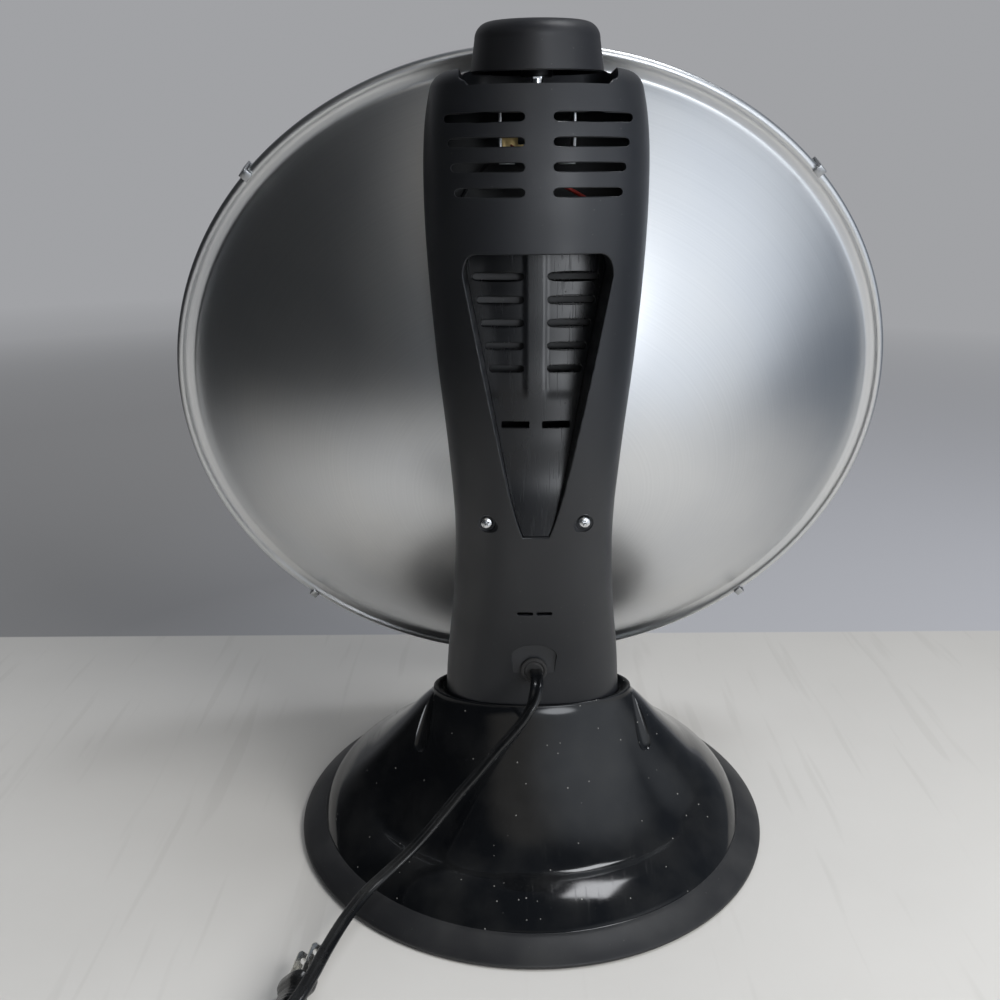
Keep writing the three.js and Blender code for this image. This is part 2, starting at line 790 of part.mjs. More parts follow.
// The carry-handle outline, grown or shrunk by an offset.
function handleOutline(offset) {
  const top = columnTop - handleTopDrop + offset;
  const shoulder = columnTop - handleTopDrop - handleCornerRadius * 1.4;
  const low = columnTop - handleLowerDrop;
  const tip = columnTop - handleTipDrop - offset * 2.2;
  const shoulderX = handleTopHalfWidth + offset;
  const lowX = handleLowerHalfWidth + offset;
  const shape = new THREE.Shape();
  shape.moveTo(-shoulderX + handleCornerRadius, top);
  shape.quadraticCurveTo(-shoulderX, top, -shoulderX, shoulder);
  shape.lineTo(-lowX, low);
  shape.quadraticCurveTo(-lowX * 0.55, tip + (low - tip) * 0.32, -1.6 - offset * 0.3, tip);
  shape.lineTo(1.6 + offset * 0.3, tip);
  shape.quadraticCurveTo(lowX * 0.55, tip + (low - tip) * 0.32, lowX, low);
  shape.lineTo(shoulderX, shoulder);
  shape.quadraticCurveTo(shoulderX, top, shoulderX - handleCornerRadius, top);
  return shape;
}

// How far the panel lies inside the rear line, at drops from the column's top.
const panelDrop = (share) => columnTop - THREE.MathUtils.lerp(handleTopDrop, handleLowerDrop, share);
const panelDepth = smoothLine([
  [columnTop - handleTipDrop, panelSink * 0.013],
  [panelDrop(1), panelSink * 0.23],
  [panelDrop(0.78), panelSink * 0.525],
  [panelDrop(0.51), panelSink * 0.82],
  [panelDrop(0.25), panelSink * 0.935],
  [panelDrop(0), panelSink],
]);
const panelLine = (height) => columnRear(height) - panelDepth(height);

// A slab that follows the panel's crowned face, from its face in to a depth.
function panelSlab(faceShift, thickness) {
  const heights = [];
  const low = columnTop - handleTipDrop - 6;
  const high = columnTop - handleTopDrop + 6;
  for (let step = 0; step <= 7; step += 1) heights.push(THREE.MathUtils.lerp(low, high, step / 7));
  const rings = heights.map((height) => {
    const crownAt = (x) => panelLine(height) + faceShift - panelCrown * (x / handleTopHalfWidth) ** 2;
    const across = [-1.2, -0.6, 0, 0.6, 1.2].map((share) => share * handleTopHalfWidth);
    const face = across.map((x) => new THREE.Vector3(x, crownAt(x), height));
    const back = across.map((x) => new THREE.Vector3(x, crownAt(x) - thickness, height)).reverse();
    return [...face, ...back].reverse();
  });
  return loft(rings);
}

// Where the rear face of the column lies at a distance from its middle plane.
function rearSurface(x, height) {
  const middle = columnMiddle(height);
  const fraction = Math.abs(x) / columnHalfWidth(height);
  const share = (1 - fraction ** columnSquareness) ** (1 / columnSquareness);
  return middle + (columnRear(height) - middle) * share;
}

const shellScrewHeight = columnTop - shellScrewDrop;
const counterboreFloor = rearSurface(shellScrewX, shellScrewHeight) - counterboreDepth;
const reliefZ = columnFoot + reliefHeight;
const reliefFace = columnRear(reliefZ) - 0.8;
const lowSlotZ = columnFoot + lowSlotHeight;
const pocketFloor = columnTop - pocketFloorDrop;
const pocketFront = knobAxisY - knobRadius - pocketSideGap;
const pocketRear = columnRear(columnTop - pocketLipDrop) - columnWall * 1.4;
const pivotZ = columnFoot + pivotHeight;
const sensorFace = pivotY - tipFrameReach;
const outsideSolid = solidOf(columnOutside());
const hollowSolid = solidOf(columnInside());

function roundedRectangle(x0, x1, y0, y1, radius) {
  const shape = new THREE.Shape();
  shape.moveTo(x0 + radius, y0);
  shape.lineTo(x1 - radius, y0);
  shape.absarc(x1 - radius, y0 + radius, radius, -Math.PI / 2, 0, false);
  shape.lineTo(x1, y1 - radius);
  shape.absarc(x1 - radius, y1 - radius, radius, 0, Math.PI / 2, false);
  shape.lineTo(x0 + radius, y1);
  shape.absarc(x0 + radius, y1 - radius, radius, Math.PI / 2, Math.PI, false);
  shape.lineTo(x0, y0 + radius);
  shape.absarc(x0 + radius, y0 + radius, radius, Math.PI, (3 * Math.PI) / 2, false);
  return shape;
}

// The pocket for the knob, with a lower lip at the rear.
function pocketCutter() {
  const well = roundedRectangle(-pocketHalfWidth, pocketHalfWidth, pocketFront, pocketRear, pocketCornerRadius);
  const pocket = solidOf(extrudeAlongZ(well, pocketFloor, columnTop + 5, 5));
  const lip = columnTop - pocketLipDrop;
  const notch = box(-pocketHalfWidth, pocketHalfWidth, knobAxisY, columnRear(columnTop) + 20, lip, columnTop + 5);
  return pocket.add(solidOf(notch));
}

// The hole that the thermostat's bush comes up through, in line with the leaning knob.
function bushHole() {
  const hole = postZ(bushRadius + slideGap, 0, 0, floorFromKnob - columnWall - 3, floorFromKnob + 3, 16);
  return solidOf(placedLike(knobGroup, hole));
}


function columnRearShell() {
  let shell = outsideSolid.subtract(hollowSolid);

  // Walls round the handle opening, back to the panel
  const wellWalls = solidOf(extrudeAlongY(handleOutline(handleWall), 0, 150, 4)).intersect(outsideSolid);
  shell = shell.add(wellWalls.subtract(solidOf(panelSlab(-panelThickness - 1, 120))));

  // A flat pad behind the cord exit, and posts for the two shell screws
  const padWidth = reliefPadHalfWidth + 2;
  const pad = box(
    -padWidth, padWidth, reliefFace - reliefPadThickness, 150, reliefZ - reliefPadDrop - 2, reliefZ + reliefPadHeight + 4,
  );
  shell = shell.add(solidOf(pad).intersect(outsideSolid));
  const partingAtScrew = columnMiddle(shellScrewHeight) + seatGap / 2;
  for (const side of [-1, 1]) {
    const post = postY(shellPostRadius, side * shellScrewX, shellScrewHeight, partingAtScrew, 150, 12);
    shell = shell.add(solidOf(post).intersect(outsideSolid));
  }
  for (const [x, y] of footScrewPlaces.slice(0, 2)) {
    const post = postZ(bossRadius, x, y, columnFoot, columnFoot + footScrewLength, 10);
    shell = shell.add(solidOf(post).intersect(outsideSolid));
  }

  // Openings
  shell = shell.subtract(solidOf(extrudeAlongY(handleOutline(0), 0, 150, 4)));
  shell = shell.subtract(pocketCutter()).subtract(bushHole());
  for (let row = 0; row < slotRows; row += 1) {
    const z = columnTop - slotTopDrop - row * slotPitch;
    const outer = slotOuterX - row * slotOuterStep;
    for (const [x0, x1] of [[slotInnerX, outer], [-outer, -slotInnerX]]) {
      const slot = extrudeAlongY(slotOutline(x0, x1, z, slotHeight), columnMiddle(z) + 3, 150, 2);
      shell = shell.subtract(solidOf(slot));
    }
  }
  for (const [x0, x1] of [[lowSlotWeb / 2, lowSlotHalfWidth], [-lowSlotHalfWidth, -lowSlotWeb / 2]]) {
    const slot = box(x0, x1, columnMiddle(lowSlotZ) + 5, 150, lowSlotZ - lowSlotOpening / 2, lowSlotZ + lowSlotOpening / 2);
    shell = shell.subtract(solidOf(slot));
  }
  for (const side of [-1, 1]) {
    const x = side * shellScrewX;
    shell = shell.subtract(solidOf(postY(counterboreRadius, x, shellScrewHeight, counterboreFloor, 150, 12)));
    shell = shell.subtract(solidOf(postY(screwRadius + screwHoleGap, x, shellScrewHeight, 0, 150, 8)));
  }
  for (const [x, y] of footScrewPlaces.slice(0, 2)) {
    const hole = postZ(screwRadius + screwHoleGap, x, y, columnFoot - 5, columnFoot + footScrewLength - 2, 8);
    shell = shell.subtract(solidOf(hole));
  }

  // The arched flat for the cord bushing, and its hole
  const arch = new THREE.Shape();
  arch.moveTo(-reliefPadHalfWidth, reliefZ - reliefPadDrop);
  arch.lineTo(reliefPadHalfWidth, reliefZ - reliefPadDrop);
  arch.lineTo(reliefPadHalfWidth, reliefZ);
  arch.absellipse(0, reliefZ, reliefPadHalfWidth, reliefPadHeight, 0, Math.PI, false);
  shell = shell.subtract(solidOf(extrudeAlongY(arch, reliefFace, 150, 4)));
  shell = shell.subtract(solidOf(postY(reliefNeckRadius + slideGap, 0, reliefZ, 0, 150, 14)));
  return shell.intersect(solidOf(partingBlock(true)));
}

function columnFrontShell() {
  let shell = outsideSolid.subtract(hollowSolid);
  const frontAtScrew = columnMiddle(shellScrewHeight) - seatGap / 2;
  for (const side of [-1, 1]) {
    const post = postY(bossRadius, side * shellScrewX, shellScrewHeight, 0, frontAtScrew, 10);
    shell = shell.add(solidOf(post).intersect(outsideSolid));
    const sensorPost = postY(bossRadius - 0.8, side * sensorPostX, pivotZ, 0, sensorFace - seatGap, 8);
    shell = shell.add(solidOf(sensorPost).intersect(outsideSolid));
  }
  for (const [x, y] of footScrewPlaces.slice(2)) {
    const post = postZ(bossRadius, x, y, columnFoot, columnFoot + footScrewLength, 10);
    shell = shell.add(solidOf(post).intersect(outsideSolid));
  }

  // A round seat that carries the dish, in line with the dish's axis
  const ring = placedLike(dishGroup, postZ(seatRingRadius, 0, 0, -seatRingDepth, -seatGap, 24));
  const inFront = box(-100, 100, -200, columnMiddle(dishVertexZ) - seatGap, columnFoot, columnTop);
  shell = shell.add(solidOf(ring).intersect(solidOf(inFront)));
  const bore = placedLike(dishGroup, postZ(socketRadius + 2 * slideGap, 0, 0, -60, 60, 20));
  shell = shell.subtract(solidOf(bore));
  for (let index = 0; index < 3; index += 1) {
    const [x, y] = onCircle(dishScrewCircle, index, 3, 0.25);
    shell = shell.subtract(solidOf(placedLike(dishGroup, postZ(screwRadius + screwHoleGap, x, y, -dishScrewLength, 5, 8))));
  }
  for (const side of [-1, 1]) {
    const hole = postY(screwRadius + screwHoleGap, side * shellScrewX, shellScrewHeight, columnFront(shellScrewHeight) + 2, 150, 8);
    shell = shell.subtract(solidOf(hole));
  }
  for (const [x, y] of footScrewPlaces.slice(2)) {
    const hole = postZ(screwRadius + screwHoleGap, x, y, columnFoot - 5, columnFoot + footScrewLength - 2, 8);
    shell = shell.subtract(solidOf(hole));
  }
  shell = shell.subtract(pocketCutter()).subtract(bushHole());
  return shell.intersect(solidOf(partingBlock(false)));
}

function recessPanel() {
  let panel = solidOf(panelSlab(0, panelThickness));
  panel = panel.intersect(solidOf(extrudeAlongY(handleOutline(-seatGap), 0, 150, 4)));
  const top = columnTop - handleTopDrop;
  for (let row = 0; row < panelSlotRows; row += 1) {
    const z = top - panelSlotTopDrop - row * panelSlotPitch;
    const outer = handleTopHalfWidth - 4.5 - row * 2.3;
    for (const [x0, x1] of [[panelSlotInnerX, outer], [-outer, -panelSlotInnerX]]) {
      const slot = extrudeAlongY(slotOutline(x0, x1, z, panelSlotHeight), 0, 150, 1);
      panel = panel.subtract(solidOf(slot));
    }
  }
  const z = top - panelLowSlotDrop;
  const outer = panelLowSlotInnerX + panelLowSlotWidth;
  for (const [x0, x1] of [[panelLowSlotInnerX, outer], [-outer, -panelLowSlotInnerX]]) {
    panel = panel.subtract(solidOf(box(x0, x1, 0, 150, z - panelSlotHeight / 2, z + panelSlotHeight / 2)));
  }
  return panel;
}

addPiece('column_rear_shell', columnRearShell(), finishes.mattePlastic);
addPiece('column_front_shell', columnFrontShell(), finishes.mattePlastic);
addPiece('handle_recess_panel', recessPanel(), finishes.glossPlastic);

for (const [side, label] of [[-1, 'left'], [1, 'right']]) {
  const screw = panScrew(shellScrewLength, screwHeadRadius - 0.4);
  const mesh = addPiece(`shell_screw_${label}`, screw, finishes.chrome);
  mesh.rotation.x = Math.PI / 2;
  mesh.position.set(side * shellScrewX, counterboreFloor + seatGap, shellScrewHeight);
}

// ---------------------------------------------------------------- thermostat and knob

heater.add(knobGroup);
const thermostatGroup = new THREE.Group();
thermostatGroup.position.copy(knobGroup.position);
thermostatGroup.rotation.copy(knobGroup.rotation);
heater.add(thermostatGroup);

// Heights along the knob's axis, from the underside of the knob
const frameTop = floorFromKnob - columnWall - 3 * seatGap;
const frameLow = frameTop - thermostatHeight;
const nutLow = floorFromKnob + 2 * seatGap;
const nutTop = nutLow + nutHeight;
const shaftTop = knobHeight - knobWall - 4;
const shaftLow = shaftTop - shaftLength;

function knobBody() {
  const hubTop = knobHeight - knobWall - 3;
  const crown = [];
  for (let step = 0; step <= 4; step += 1) {
    const angle = (step / 4) * 90 * degrees;
    const radius = knobTopRadius - knobRounding + knobRounding * Math.cos(angle);
    crown.push([radius, knobHeight - knobRounding + knobRounding * Math.sin(angle)]);
  }
  const body = revolve(
    [
      [0, nutTop + 2],
      [knobHubRadius, nutTop + 2],
      [knobHubRadius + 0.4, hubTop],
      [knobTopRadius - knobRounding, hubTop + 1],
      [knobTopRadius - knobWall, knobHeight - knobRounding - knobWall],
      [knobRadius - knobWall, 0],
      [knobRadius, 0],
      ...crown,
      [0, knobHeight + 0.6],
    ],
    24,
  );
  const bore = postZ(shaftRadius + slideGap, 0, 0, nutTop - 5, shaftTop + seatGap, 12);
  return solidOf(body).subtract(solidOf(bore));
}

function thermostatShaft() {
  const round = solidOf(postZ(shaftRadius, 0, 0, shaftLow, shaftTop, 12));
  const flat = box(-5, 5, shaftFlat, 5, nutTop + 3, shaftTop + 1);
  return round.subtract(solidOf(flat));
}

// A threaded bush with a wide foot that holds the frame from below.
function thermostatBush() {
  const bore = shaftRadius + slideGap;
  return revolveRing(
    [
      [bore, frameTop - thermostatSheet - 2],
      [bushRadius + 2, frameTop - thermostatSheet - 2],
      [bushRadius + 2, frameTop - thermostatSheet - seatGap],
      [bushRadius, frameTop - thermostatSheet - seatGap],
      [bushRadius, nutTop + 0.8],
      [bore, nutTop + 0.8],
    ],
    18,
  );
}

function thermostatNut() {
  const hexagon = postZ(nutRadius, 0, 0, nutLow, nutTop, 6);
  const bore = postZ(bushRadius + slideGap / 2, 0, 0, nutLow - 1, nutTop + 1, 18);
  return solidOf(hexagon).subtract(solidOf(bore));
}

// A folded strip: top plate, two legs and a short turned-in foot on each.
function thermostatFrame() {
  const half = thermostatWidth / 2;
  const deep = thermostatDepth / 2;
  const outer = solidOf(box(-half, half, -deep, deep, frameLow, frameTop));
  const inner = box(
    -half + thermostatSheet, half - thermostatSheet, -deep - 1, deep + 1,
    frameLow + thermostatSheet, frameTop - thermostatSheet,
  );
  const gapBelow = box(-half + 7, half - 7, -deep - 1, deep + 1, frameLow - 1, frameLow + thermostatSheet + 1);
  const bore = postZ(bushRadius + slideGap, 0, 0, frameTop - 5, frameTop + 1, 18);
  return outer.subtract(solidOf(inner)).subtract(solidOf(gapBelow)).subtract(solidOf(bore));
}

// A stack of contact strips with insulators between them, on one leg of the frame.
function thermostatContacts() {
  const low = frameLow + thermostatSheet + seatGap;
  const legX = thermostatWidth / 2 - thermostatSheet - seatGap;
  let stack = solidOf(box(legX - 7, legX, -4, 4, low, low + 13));
  for (const [level, reach] of [[2, 20], [6, 23], [10, 21]]) {
    const strip = box(legX - reach, legX - 5, -2.6, 2.6, low + level, low + level + 0.7);
    stack = stack.add(solidOf(strip));
  }
  return stack;
}

addPiece('knob', knobBody(), finishes.mattePlastic, knobGroup);
addPiece('thermostat_shaft', thermostatShaft(), finishes.chrome, knobGroup);
addPiece('thermostat_bush', thermostatBush(), finishes.brass, thermostatGroup);
addPiece('thermostat_nut', thermostatNut(), finishes.steel, thermostatGroup);
addPiece('thermostat_frame', thermostatFrame(), finishes.steel, thermostatGroup);
addPiece('thermostat_contacts', thermostatContacts(), finishes.brass, thermostatGroup);

// ---------------------------------------------------------------- dish and its seat

heater.add(dishGroup);
const rimHeight = dishDepth + 1;
const rimCentre = dishRadius - rimBeadRadius;

// The bowl's section: up the back, round the rolled rim, and down the inside.
function dishProfile() {
  const back = [[dishHoleRadius, 0], [dishFlat, 0]];
  const inside = [];
  for (let step = 1; step <= 5; step += 1) {
    const radius = THREE.MathUtils.lerp(dishFlat, bowlRadius, step / 5);
    back.push([radius, bowlRise(radius)]);
    inside.unshift([radius - dishWall * 0.55, bowlRise(radius) + dishWall * 0.85]);
  }
  const bead = [];
  for (let step = 0; step <= 3; step += 1) {
    const angle = (-150 + (step / 3) * 300) * degrees;
    bead.push([rimCentre + rimBeadRadius * Math.cos(angle), rimHeight + rimBeadRadius * Math.sin(angle)]);
  }
  const bandInside = [bowlRadius + 0.6, dishDepth + dishWall];
  return [...back, ...bead, bandInside, ...inside.slice(1), [dishFlat - 0.3, dishWall], [dishHoleRadius, dishWall]];
}

function reflectorDish() {
  let dish = solidOf(revolveRing(dishProfile(), dishSides));
  for (let index = 0; index < 3; index += 1) {
    const [x, y] = onCircle(dishScrewCircle, index, 3, 0.25);
    dish = dish.subtract(solidOf(postZ(screwRadius + screwHoleGap, x, y, -1, dishWall + 1, 8)));
  }
  return dish;
}

const flangeLow = dishWall + seatGap;
const flangeTop = flangeLow + socketFlangeHeight;
const clampTop = flangeTop + seatGap + clampThickness;

// A stepped ring that clamps the socket's flange and the bowl to the seat.
function clampRing() {
  let ring = solidOf(
    revolveRing(
      [
        [socketFlangeRadius + seatGap, flangeLow],
        [clampRadius, flangeLow],
        [clampRadius, clampTop - 0.8],
        [clampRadius - 0.8, clampTop],
        [socketRadius + 1, clampTop],
        [socketRadius + 1, flangeTop + seatGap],
        [socketFlangeRadius + seatGap, flangeTop + seatGap],
      ],
      20,
    ),
  );
  for (let index = 0; index < 3; index += 1) {
    const [x, y] = onCircle(dishScrewCircle, index, 3, 0.25);
    ring = ring.subtract(solidOf(postZ(screwRadius + screwHoleGap, x, y, 0, clampTop + 1, 8)));
  }
  return ring;
}

addPiece('reflector_dish', reflectorDish(), finishes.aluminium, dishGroup);
addPiece('dish_clamp_ring', clampRing(), finishes.steel, dishGroup);
for (let index = 0; index < 3; index += 1) {
  const [x, y] = onCircle(dishScrewCircle, index, 3, 0.25);
  const screw = panScrew(clampTop + dishScrewLength, screwHeadRadius - 0.3);
  const mesh = addPiece(`dish_screw_${index + 1}`, screw, finishes.steel, dishGroup);
  mesh.rotation.x = Math.PI;
  mesh.position.set(x, y, clampTop + seatGap);
}

// ---------------------------------------------------------------- socket and element

const socketBore = socketRadius - socketWall;
const shellRadius = socketBore - 2 * slideGap;
const coreLow = flangeTop + seatGap + 1;
const socketFloor = flangeTop - screwShellLength - 2;

// A ceramic cup with a flange, which the element screws into.
function elementSocket() {
  return revolve(
    [
      [0, -socketLength],
      [socketRadius - 1, -socketLength],
      [socketRadius, -socketLength + 1],
      [socketRadius, flangeLow],
      [socketFlangeRadius, flangeLow],
      [socketFlangeRadius, flangeTop],
      [socketBore, flangeTop],
      [socketBore, socketFloor],
      [0, socketFloor],
    ],
    16,
  );
}

// A fluted ceramic core on a wider foot, tapering to its tip.
function elementCore() {
  const low = coreLow + coreFlangeHeight;
  const top = coreLow + coreLength;
  const body = revolve(
    [
      [0, coreLow],
      [coreFlangeRadius, coreLow],
      [coreFlangeRadius, low - 1],
      [coreFlangeRadius - 1, low],
      [coreRadius, low + 1],
      [coreTipRadius, top - 2],
      [coreTipRadius - 2, top],
      [0, top],
    ],
    16,
  );
  let core = solidOf(body);
  for (let index = 0; index < 6; index += 1) {
    const [x, y] = onCircle(coreRadius + 1.2, index, 6, 0);
    core = core.subtract(solidOf(postZ(3.2, x, y, low + 2, top + 1, 6)));
  }
  return core;
}

// A sprung wire that winds round the core, as one tube with five sides.
function elementCoil() {
  const stepsPerTurn = 8;
  const sides = 5;
  const steps = elementTurns * stepsPerTurn;
  const rings = [];
  let leastGap = Infinity;
  const centreAt = (turn) => {
    const height = coreLow + elementStart + turn * elementPitch;
    const share = (height - coreLow) / coreLength;
    const coreHere = THREE.MathUtils.lerp(coreRadius, coreTipRadius, share);
    const radius = (coreHere + elementWireRadius + seatGap / 2) / Math.cos(Math.PI / stepsPerTurn);
    const angle = turn * 2 * Math.PI;
    return { radius, angle, height };
  };
  for (let step = 0; step <= steps; step += 1) {
    const { radius, angle, height } = centreAt(step / stepsPerTurn);
    const ring = [];
    for (let side = 0; side < sides; side += 1) {
      const around = (side / sides) * 2 * Math.PI;
      const reach = radius + elementWireRadius * Math.cos(around);
      const up = height - elementWireRadius * Math.sin(around);
      ring.push(new THREE.Vector3(reach * Math.cos(angle), reach * Math.sin(angle), up));
    }
    rings.push(ring);
    if (step >= stepsPerTurn) {
      for (const lower of rings[step - stepsPerTurn]) {
        for (const upper of ring) leastGap = Math.min(leastGap, lower.distanceTo(upper));
      }
    }
  }
  console.log(`heating wire: least gap between turns ${leastGap.toFixed(2)} mm`);
  return loft(rings);
}

const tipNutLow = coreLow + coreLength + seatGap;
const screwShell = revolve(
  [
    [0, socketFloor + 2 * seatGap],
    [shellRadius * 0.5, socketFloor + 2 * seatGap],
    [shellRadius, socketFloor + 4],
    [shellRadius, coreLow - seatGap],
    [0, coreLow - seatGap],
  ],
  16,
);
const tipNut = revolve(
  [
    [0, tipNutLow],
    [tipNutRadius, tipNutLow],
    [tipNutRadius, tipNutLow + tipNutHeight * 0.6],
    [tipNutRadius * 0.5, tipNutLow + tipNutHeight],
    [0, tipNutLow + tipNutHeight],
  ],
  6,
);
addPiece('element_socket', elementSocket(), finishes.porcelain, dishGroup);
addPiece('element_screw_shell', screwShell, finishes.brass, dishGroup);
addPiece('element_core', elementCore(), finishes.porcelain, dishGroup);
addPiece('element_coil', elementCoil(), finishes.resistanceWire, dishGroup);
addPiece('element_tip_nut', tipNut, finishes.steel, dishGroup);
for (const [side, label] of [[-1, 'left'], [1, 'right']]) {
  const x = side * terminalX;
  const high = -socketLength - seatGap;
  const blade = solidOf(
    box(
      x - terminalThickness / 2, x + terminalThickness / 2, -terminalWidth / 2, terminalWidth / 2,
      high - terminalLength, high,
    ),
  );
  const hole = postX(1, 0, high - terminalLength + 2.5, x - 2, x + 2, 8);
  addPiece(`socket_terminal_${label}`, blade.subtract(solidOf(hole)), finishes.brass, dishGroup);
}

// ---------------------------------------------------------------- wire guard

const hoopRadius = dishRadius - guardHoopInset;
const hoopHeight = rimHeight + rimBeadRadius + guardWireRadius + seatGap;

// Height of the guard's dome at a distance from the dish's axis.
const guardDome = (radius) => hoopHeight + guardRise * (1 - (radius / hoopRadius) ** 2);

const wireSection = () => sideOutline(guardWireRadius, guardWireRadius, 4);

// Rings joined by spokes that lie on them, as one welded piece of wire.
function wireGuard() {
  let guard = null;
  const join = (geometry) => {
    const solid = solidOf(geometry);
    guard = guard === null ? solid : guard.add(solid);
  };
  for (let ring = 0; ring <= guardRings; ring += 1) {
    const radius = hoopRadius * ((ring + 0.6) / (guardRings + 0.6));
    const hoop = new THREE.TorusGeometry(radius, guardWireRadius, 4, ring < 3 ? 12 : 24);
    join(hoop.translate(0, 0, guardDome(radius)));
  }
  const innermost = hoopRadius * (0.6 / (guardRings + 0.6));
  for (let spoke = 0; spoke < guardSpokes; spoke += 1) {
    const angle = ((spoke + 0.5) / guardSpokes) * 2 * Math.PI;
    const from = spoke % 2 === 0 ? innermost * 0.4 : innermost * 1.02;
    const points = [];
    for (let step = 0; step <= 3; step += 1) {
      const radius = THREE.MathUtils.lerp(from, hoopRadius, step / 3);
      const height = guardDome(radius) + guardWireRadius * 1.2;
      points.push([radius * Math.cos(angle), radius * Math.sin(angle), height]);
    }
    join(tube(points, wireSection(), 3));
  }
  return guard;
}

// A strip bent over the hoop and under the rolled rim.
function guardClip() {
  const inner = hoopRadius - guardWireRadius - clipSheet - 1.6;
  const outer = dishRadius + clipSheet + seatGap * 2;
  const high = hoopHeight + guardWireRadius * 2.4 + clipSheet + seatGap;
  const low = rimHeight - rimBeadRadius - clipSheet - seatGap * 2;
  const outline = new THREE.Shape();
  outline.moveTo(inner, high - 4);
  outline.lineTo(inner + clipSheet, high - 4);
  outline.lineTo(inner + clipSheet, high - clipSheet);
  outline.lineTo(outer - clipSheet, high - clipSheet);
  outline.lineTo(outer - clipSheet, low + clipSheet);
  outline.lineTo(outer - clipSheet - 4, low + clipSheet);
  outline.lineTo(outer - clipSheet - 4, low);
  outline.lineTo(outer, low);
  outline.lineTo(outer, high);
  outline.lineTo(inner, high);
  const strip = new THREE.ExtrudeGeometry(outline, { depth: clipWidth, bevelEnabled: false });
  return strip.rotateX(Math.PI / 2).translate(0, clipWidth / 2, 0);
}

addPiece('wire_guard', wireGuard(), finishes.chrome, dishGroup);
for (let index = 0; index < clipCount; index += 1) {
  const clip = addPiece(`guard_clip_${index + 1}`, guardClip(), finishes.steel, dishGroup);
  clip.rotation.z = ((index + 0.5) / clipCount) * 2 * Math.PI;
}

// ---------------------------------------------------------------- tip-over sensor and buzzer

function sensorBracket() {
  const low = pivotZ - tipFrameHeight / 2;
  const high = pivotZ + tipFrameHeight / 2;
  const half = tipFrameHalfWidth;
  let bracket = solidOf(box(-sensorPostX - 5, sensorPostX + 5, sensorFace, sensorFace + tipFrameSheet, low, high));
  for (const side of [-1, 1]) {
    const inner = side * (half - tipFrameSheet / 2);
    const outer = side * (half + tipFrameSheet / 2);
    const cheek = box(Math.min(inner, outer), Math.max(inner, outer), sensorFace, pivotY + 5, low, high);
    bracket = bracket.add(solidOf(cheek));
    const hole = postY(screwRadius + screwHoleGap, side * sensorPostX, pivotZ, sensorFace - 2, sensorFace + 4, 10);
    bracket = bracket.subtract(solidOf(hole));
  }
  const pinHole = postX(pinRadius + slideGap, pivotY, pivotZ, -half - 3, half + 3, 14);
  return bracket.subtract(solidOf(pinHole));
}

// A hub on the pin, an arm, and a weight that hangs below it.
function tipPendulum() {
  const half = pendulumWidth / 2;
  const weightZ = pivotZ - pendulumLength;
  let pendulum = solidOf(postX(4, pivotY, pivotZ, -half, half, 12));
  pendulum = pendulum.add(solidOf(box(-1.5, 1.5, pivotY - 2, pivotY + 2, weightZ, pivotZ)));
  pendulum = pendulum.add(solidOf(postX(pendulumBobRadius, pivotY, weightZ, -half, half, 20)));
  const bore = postX(pinRadius + slideGap, pivotY, pivotZ, -half - 1, half + 1, 14);
  return pendulum.subtract(solidOf(bore));
}

// A pin with a head at one end and a swaged collar at the other.
function sensorPin() {
  const head = tipFrameHalfWidth + tipFrameSheet / 2 + seatGap;
  const pin = revolve(
    [
      [0, -head - 1],
      [pinRadius + 1, -head - 1],
      [pinRadius + 1, -head],
      [pinRadius, -head],
      [pinRadius, head],
      [pinRadius + 0.7, head],
      [pinRadius + 0.7, head + 0.8],
      [0, head + 0.8],
    ],
    10,
  );
  return pin.rotateY(Math.PI / 2).translate(0, pivotY, pivotZ);
}

const buzzerRear = columnRear(lowSlotZ - buzzerRadius) - columnWall - 2 * seatGap;
const reedY = sensorFace + tipFrameSheet + seatGap + reedRadius;

// A reed switch: a glass tube with a leg at each end, beside the magnet in the pendulum's hub.
function reedSwitch() {
  const half = pendulumWidth / 2;
  const legEnd = tipFrameHalfWidth - tipFrameSheet / 2 - 2 * seatGap;
  const glass = solidOf(postX(reedRadius, reedY, pivotZ, -half, half, 10));
  return glass.add(solidOf(postX(reedLegRadius, reedY, pivotZ, -legEnd, legEnd, 6)));
}

// A round sounder with a raised ring round its opening.
function buzzer() {
  const body = revolve(
    [
      [0, 0],
      [buzzerRadius, 0],
      [buzzerRadius, buzzerDepth - 1],
      [buzzerRadius - 1, buzzerDepth],
      [3, buzzerDepth],
      [3, buzzerDepth - 2],
      [0, buzzerDepth - 2],
    ],
    14,
  );
  return body.rotateX(-Math.PI / 2).translate(0, buzzerRear - buzzerDepth, lowSlotZ);
}

addPiece('sensor_bracket', sensorBracket(), finishes.steel);
addPiece('sensor_pin', sensorPin(), finishes.steel);
addPiece('tip_pendulum', tipPendulum(), finishes.brass);
addPiece('buzzer', buzzer(), finishes.mattePlastic);
addPiece('reed_switch', reedSwitch(), finishes.porcelain);

// ---------------------------------------------------------------- wiring inside

// Where the wires end: at the bushing's tail, the socket's blades, the contacts and the reed
const bushingEnd = reliefFace - reliefLength - seatGap;
const bladeEnd = new THREE.Vector3(0, 0, -socketLength - terminalLength - 2 * seatGap).applyEuler(dishGroup.rotation);
bladeEnd.add(dishGroup.position);
const contactsPlace = new THREE.Vector3(0, 0, frameLow + 8).applyEuler(knobGroup.rotation).add(knobGroup.position);
const reedTop = pivotZ + reedLegRadius + seatGap;
const contactX = thermostatWidth / 2 - thermostatSheet - 4;
const wireSideX = columnHalfWidth(dishVertexZ) - columnWall - 4;
const wireInnerX = shellScrewX - shellPostRadius - leadRadius - 3 * seatGap;

function insideWire(points, steps) {
  return tube(points, sideOutline(leadRadius, leadRadius, 5), steps);
}

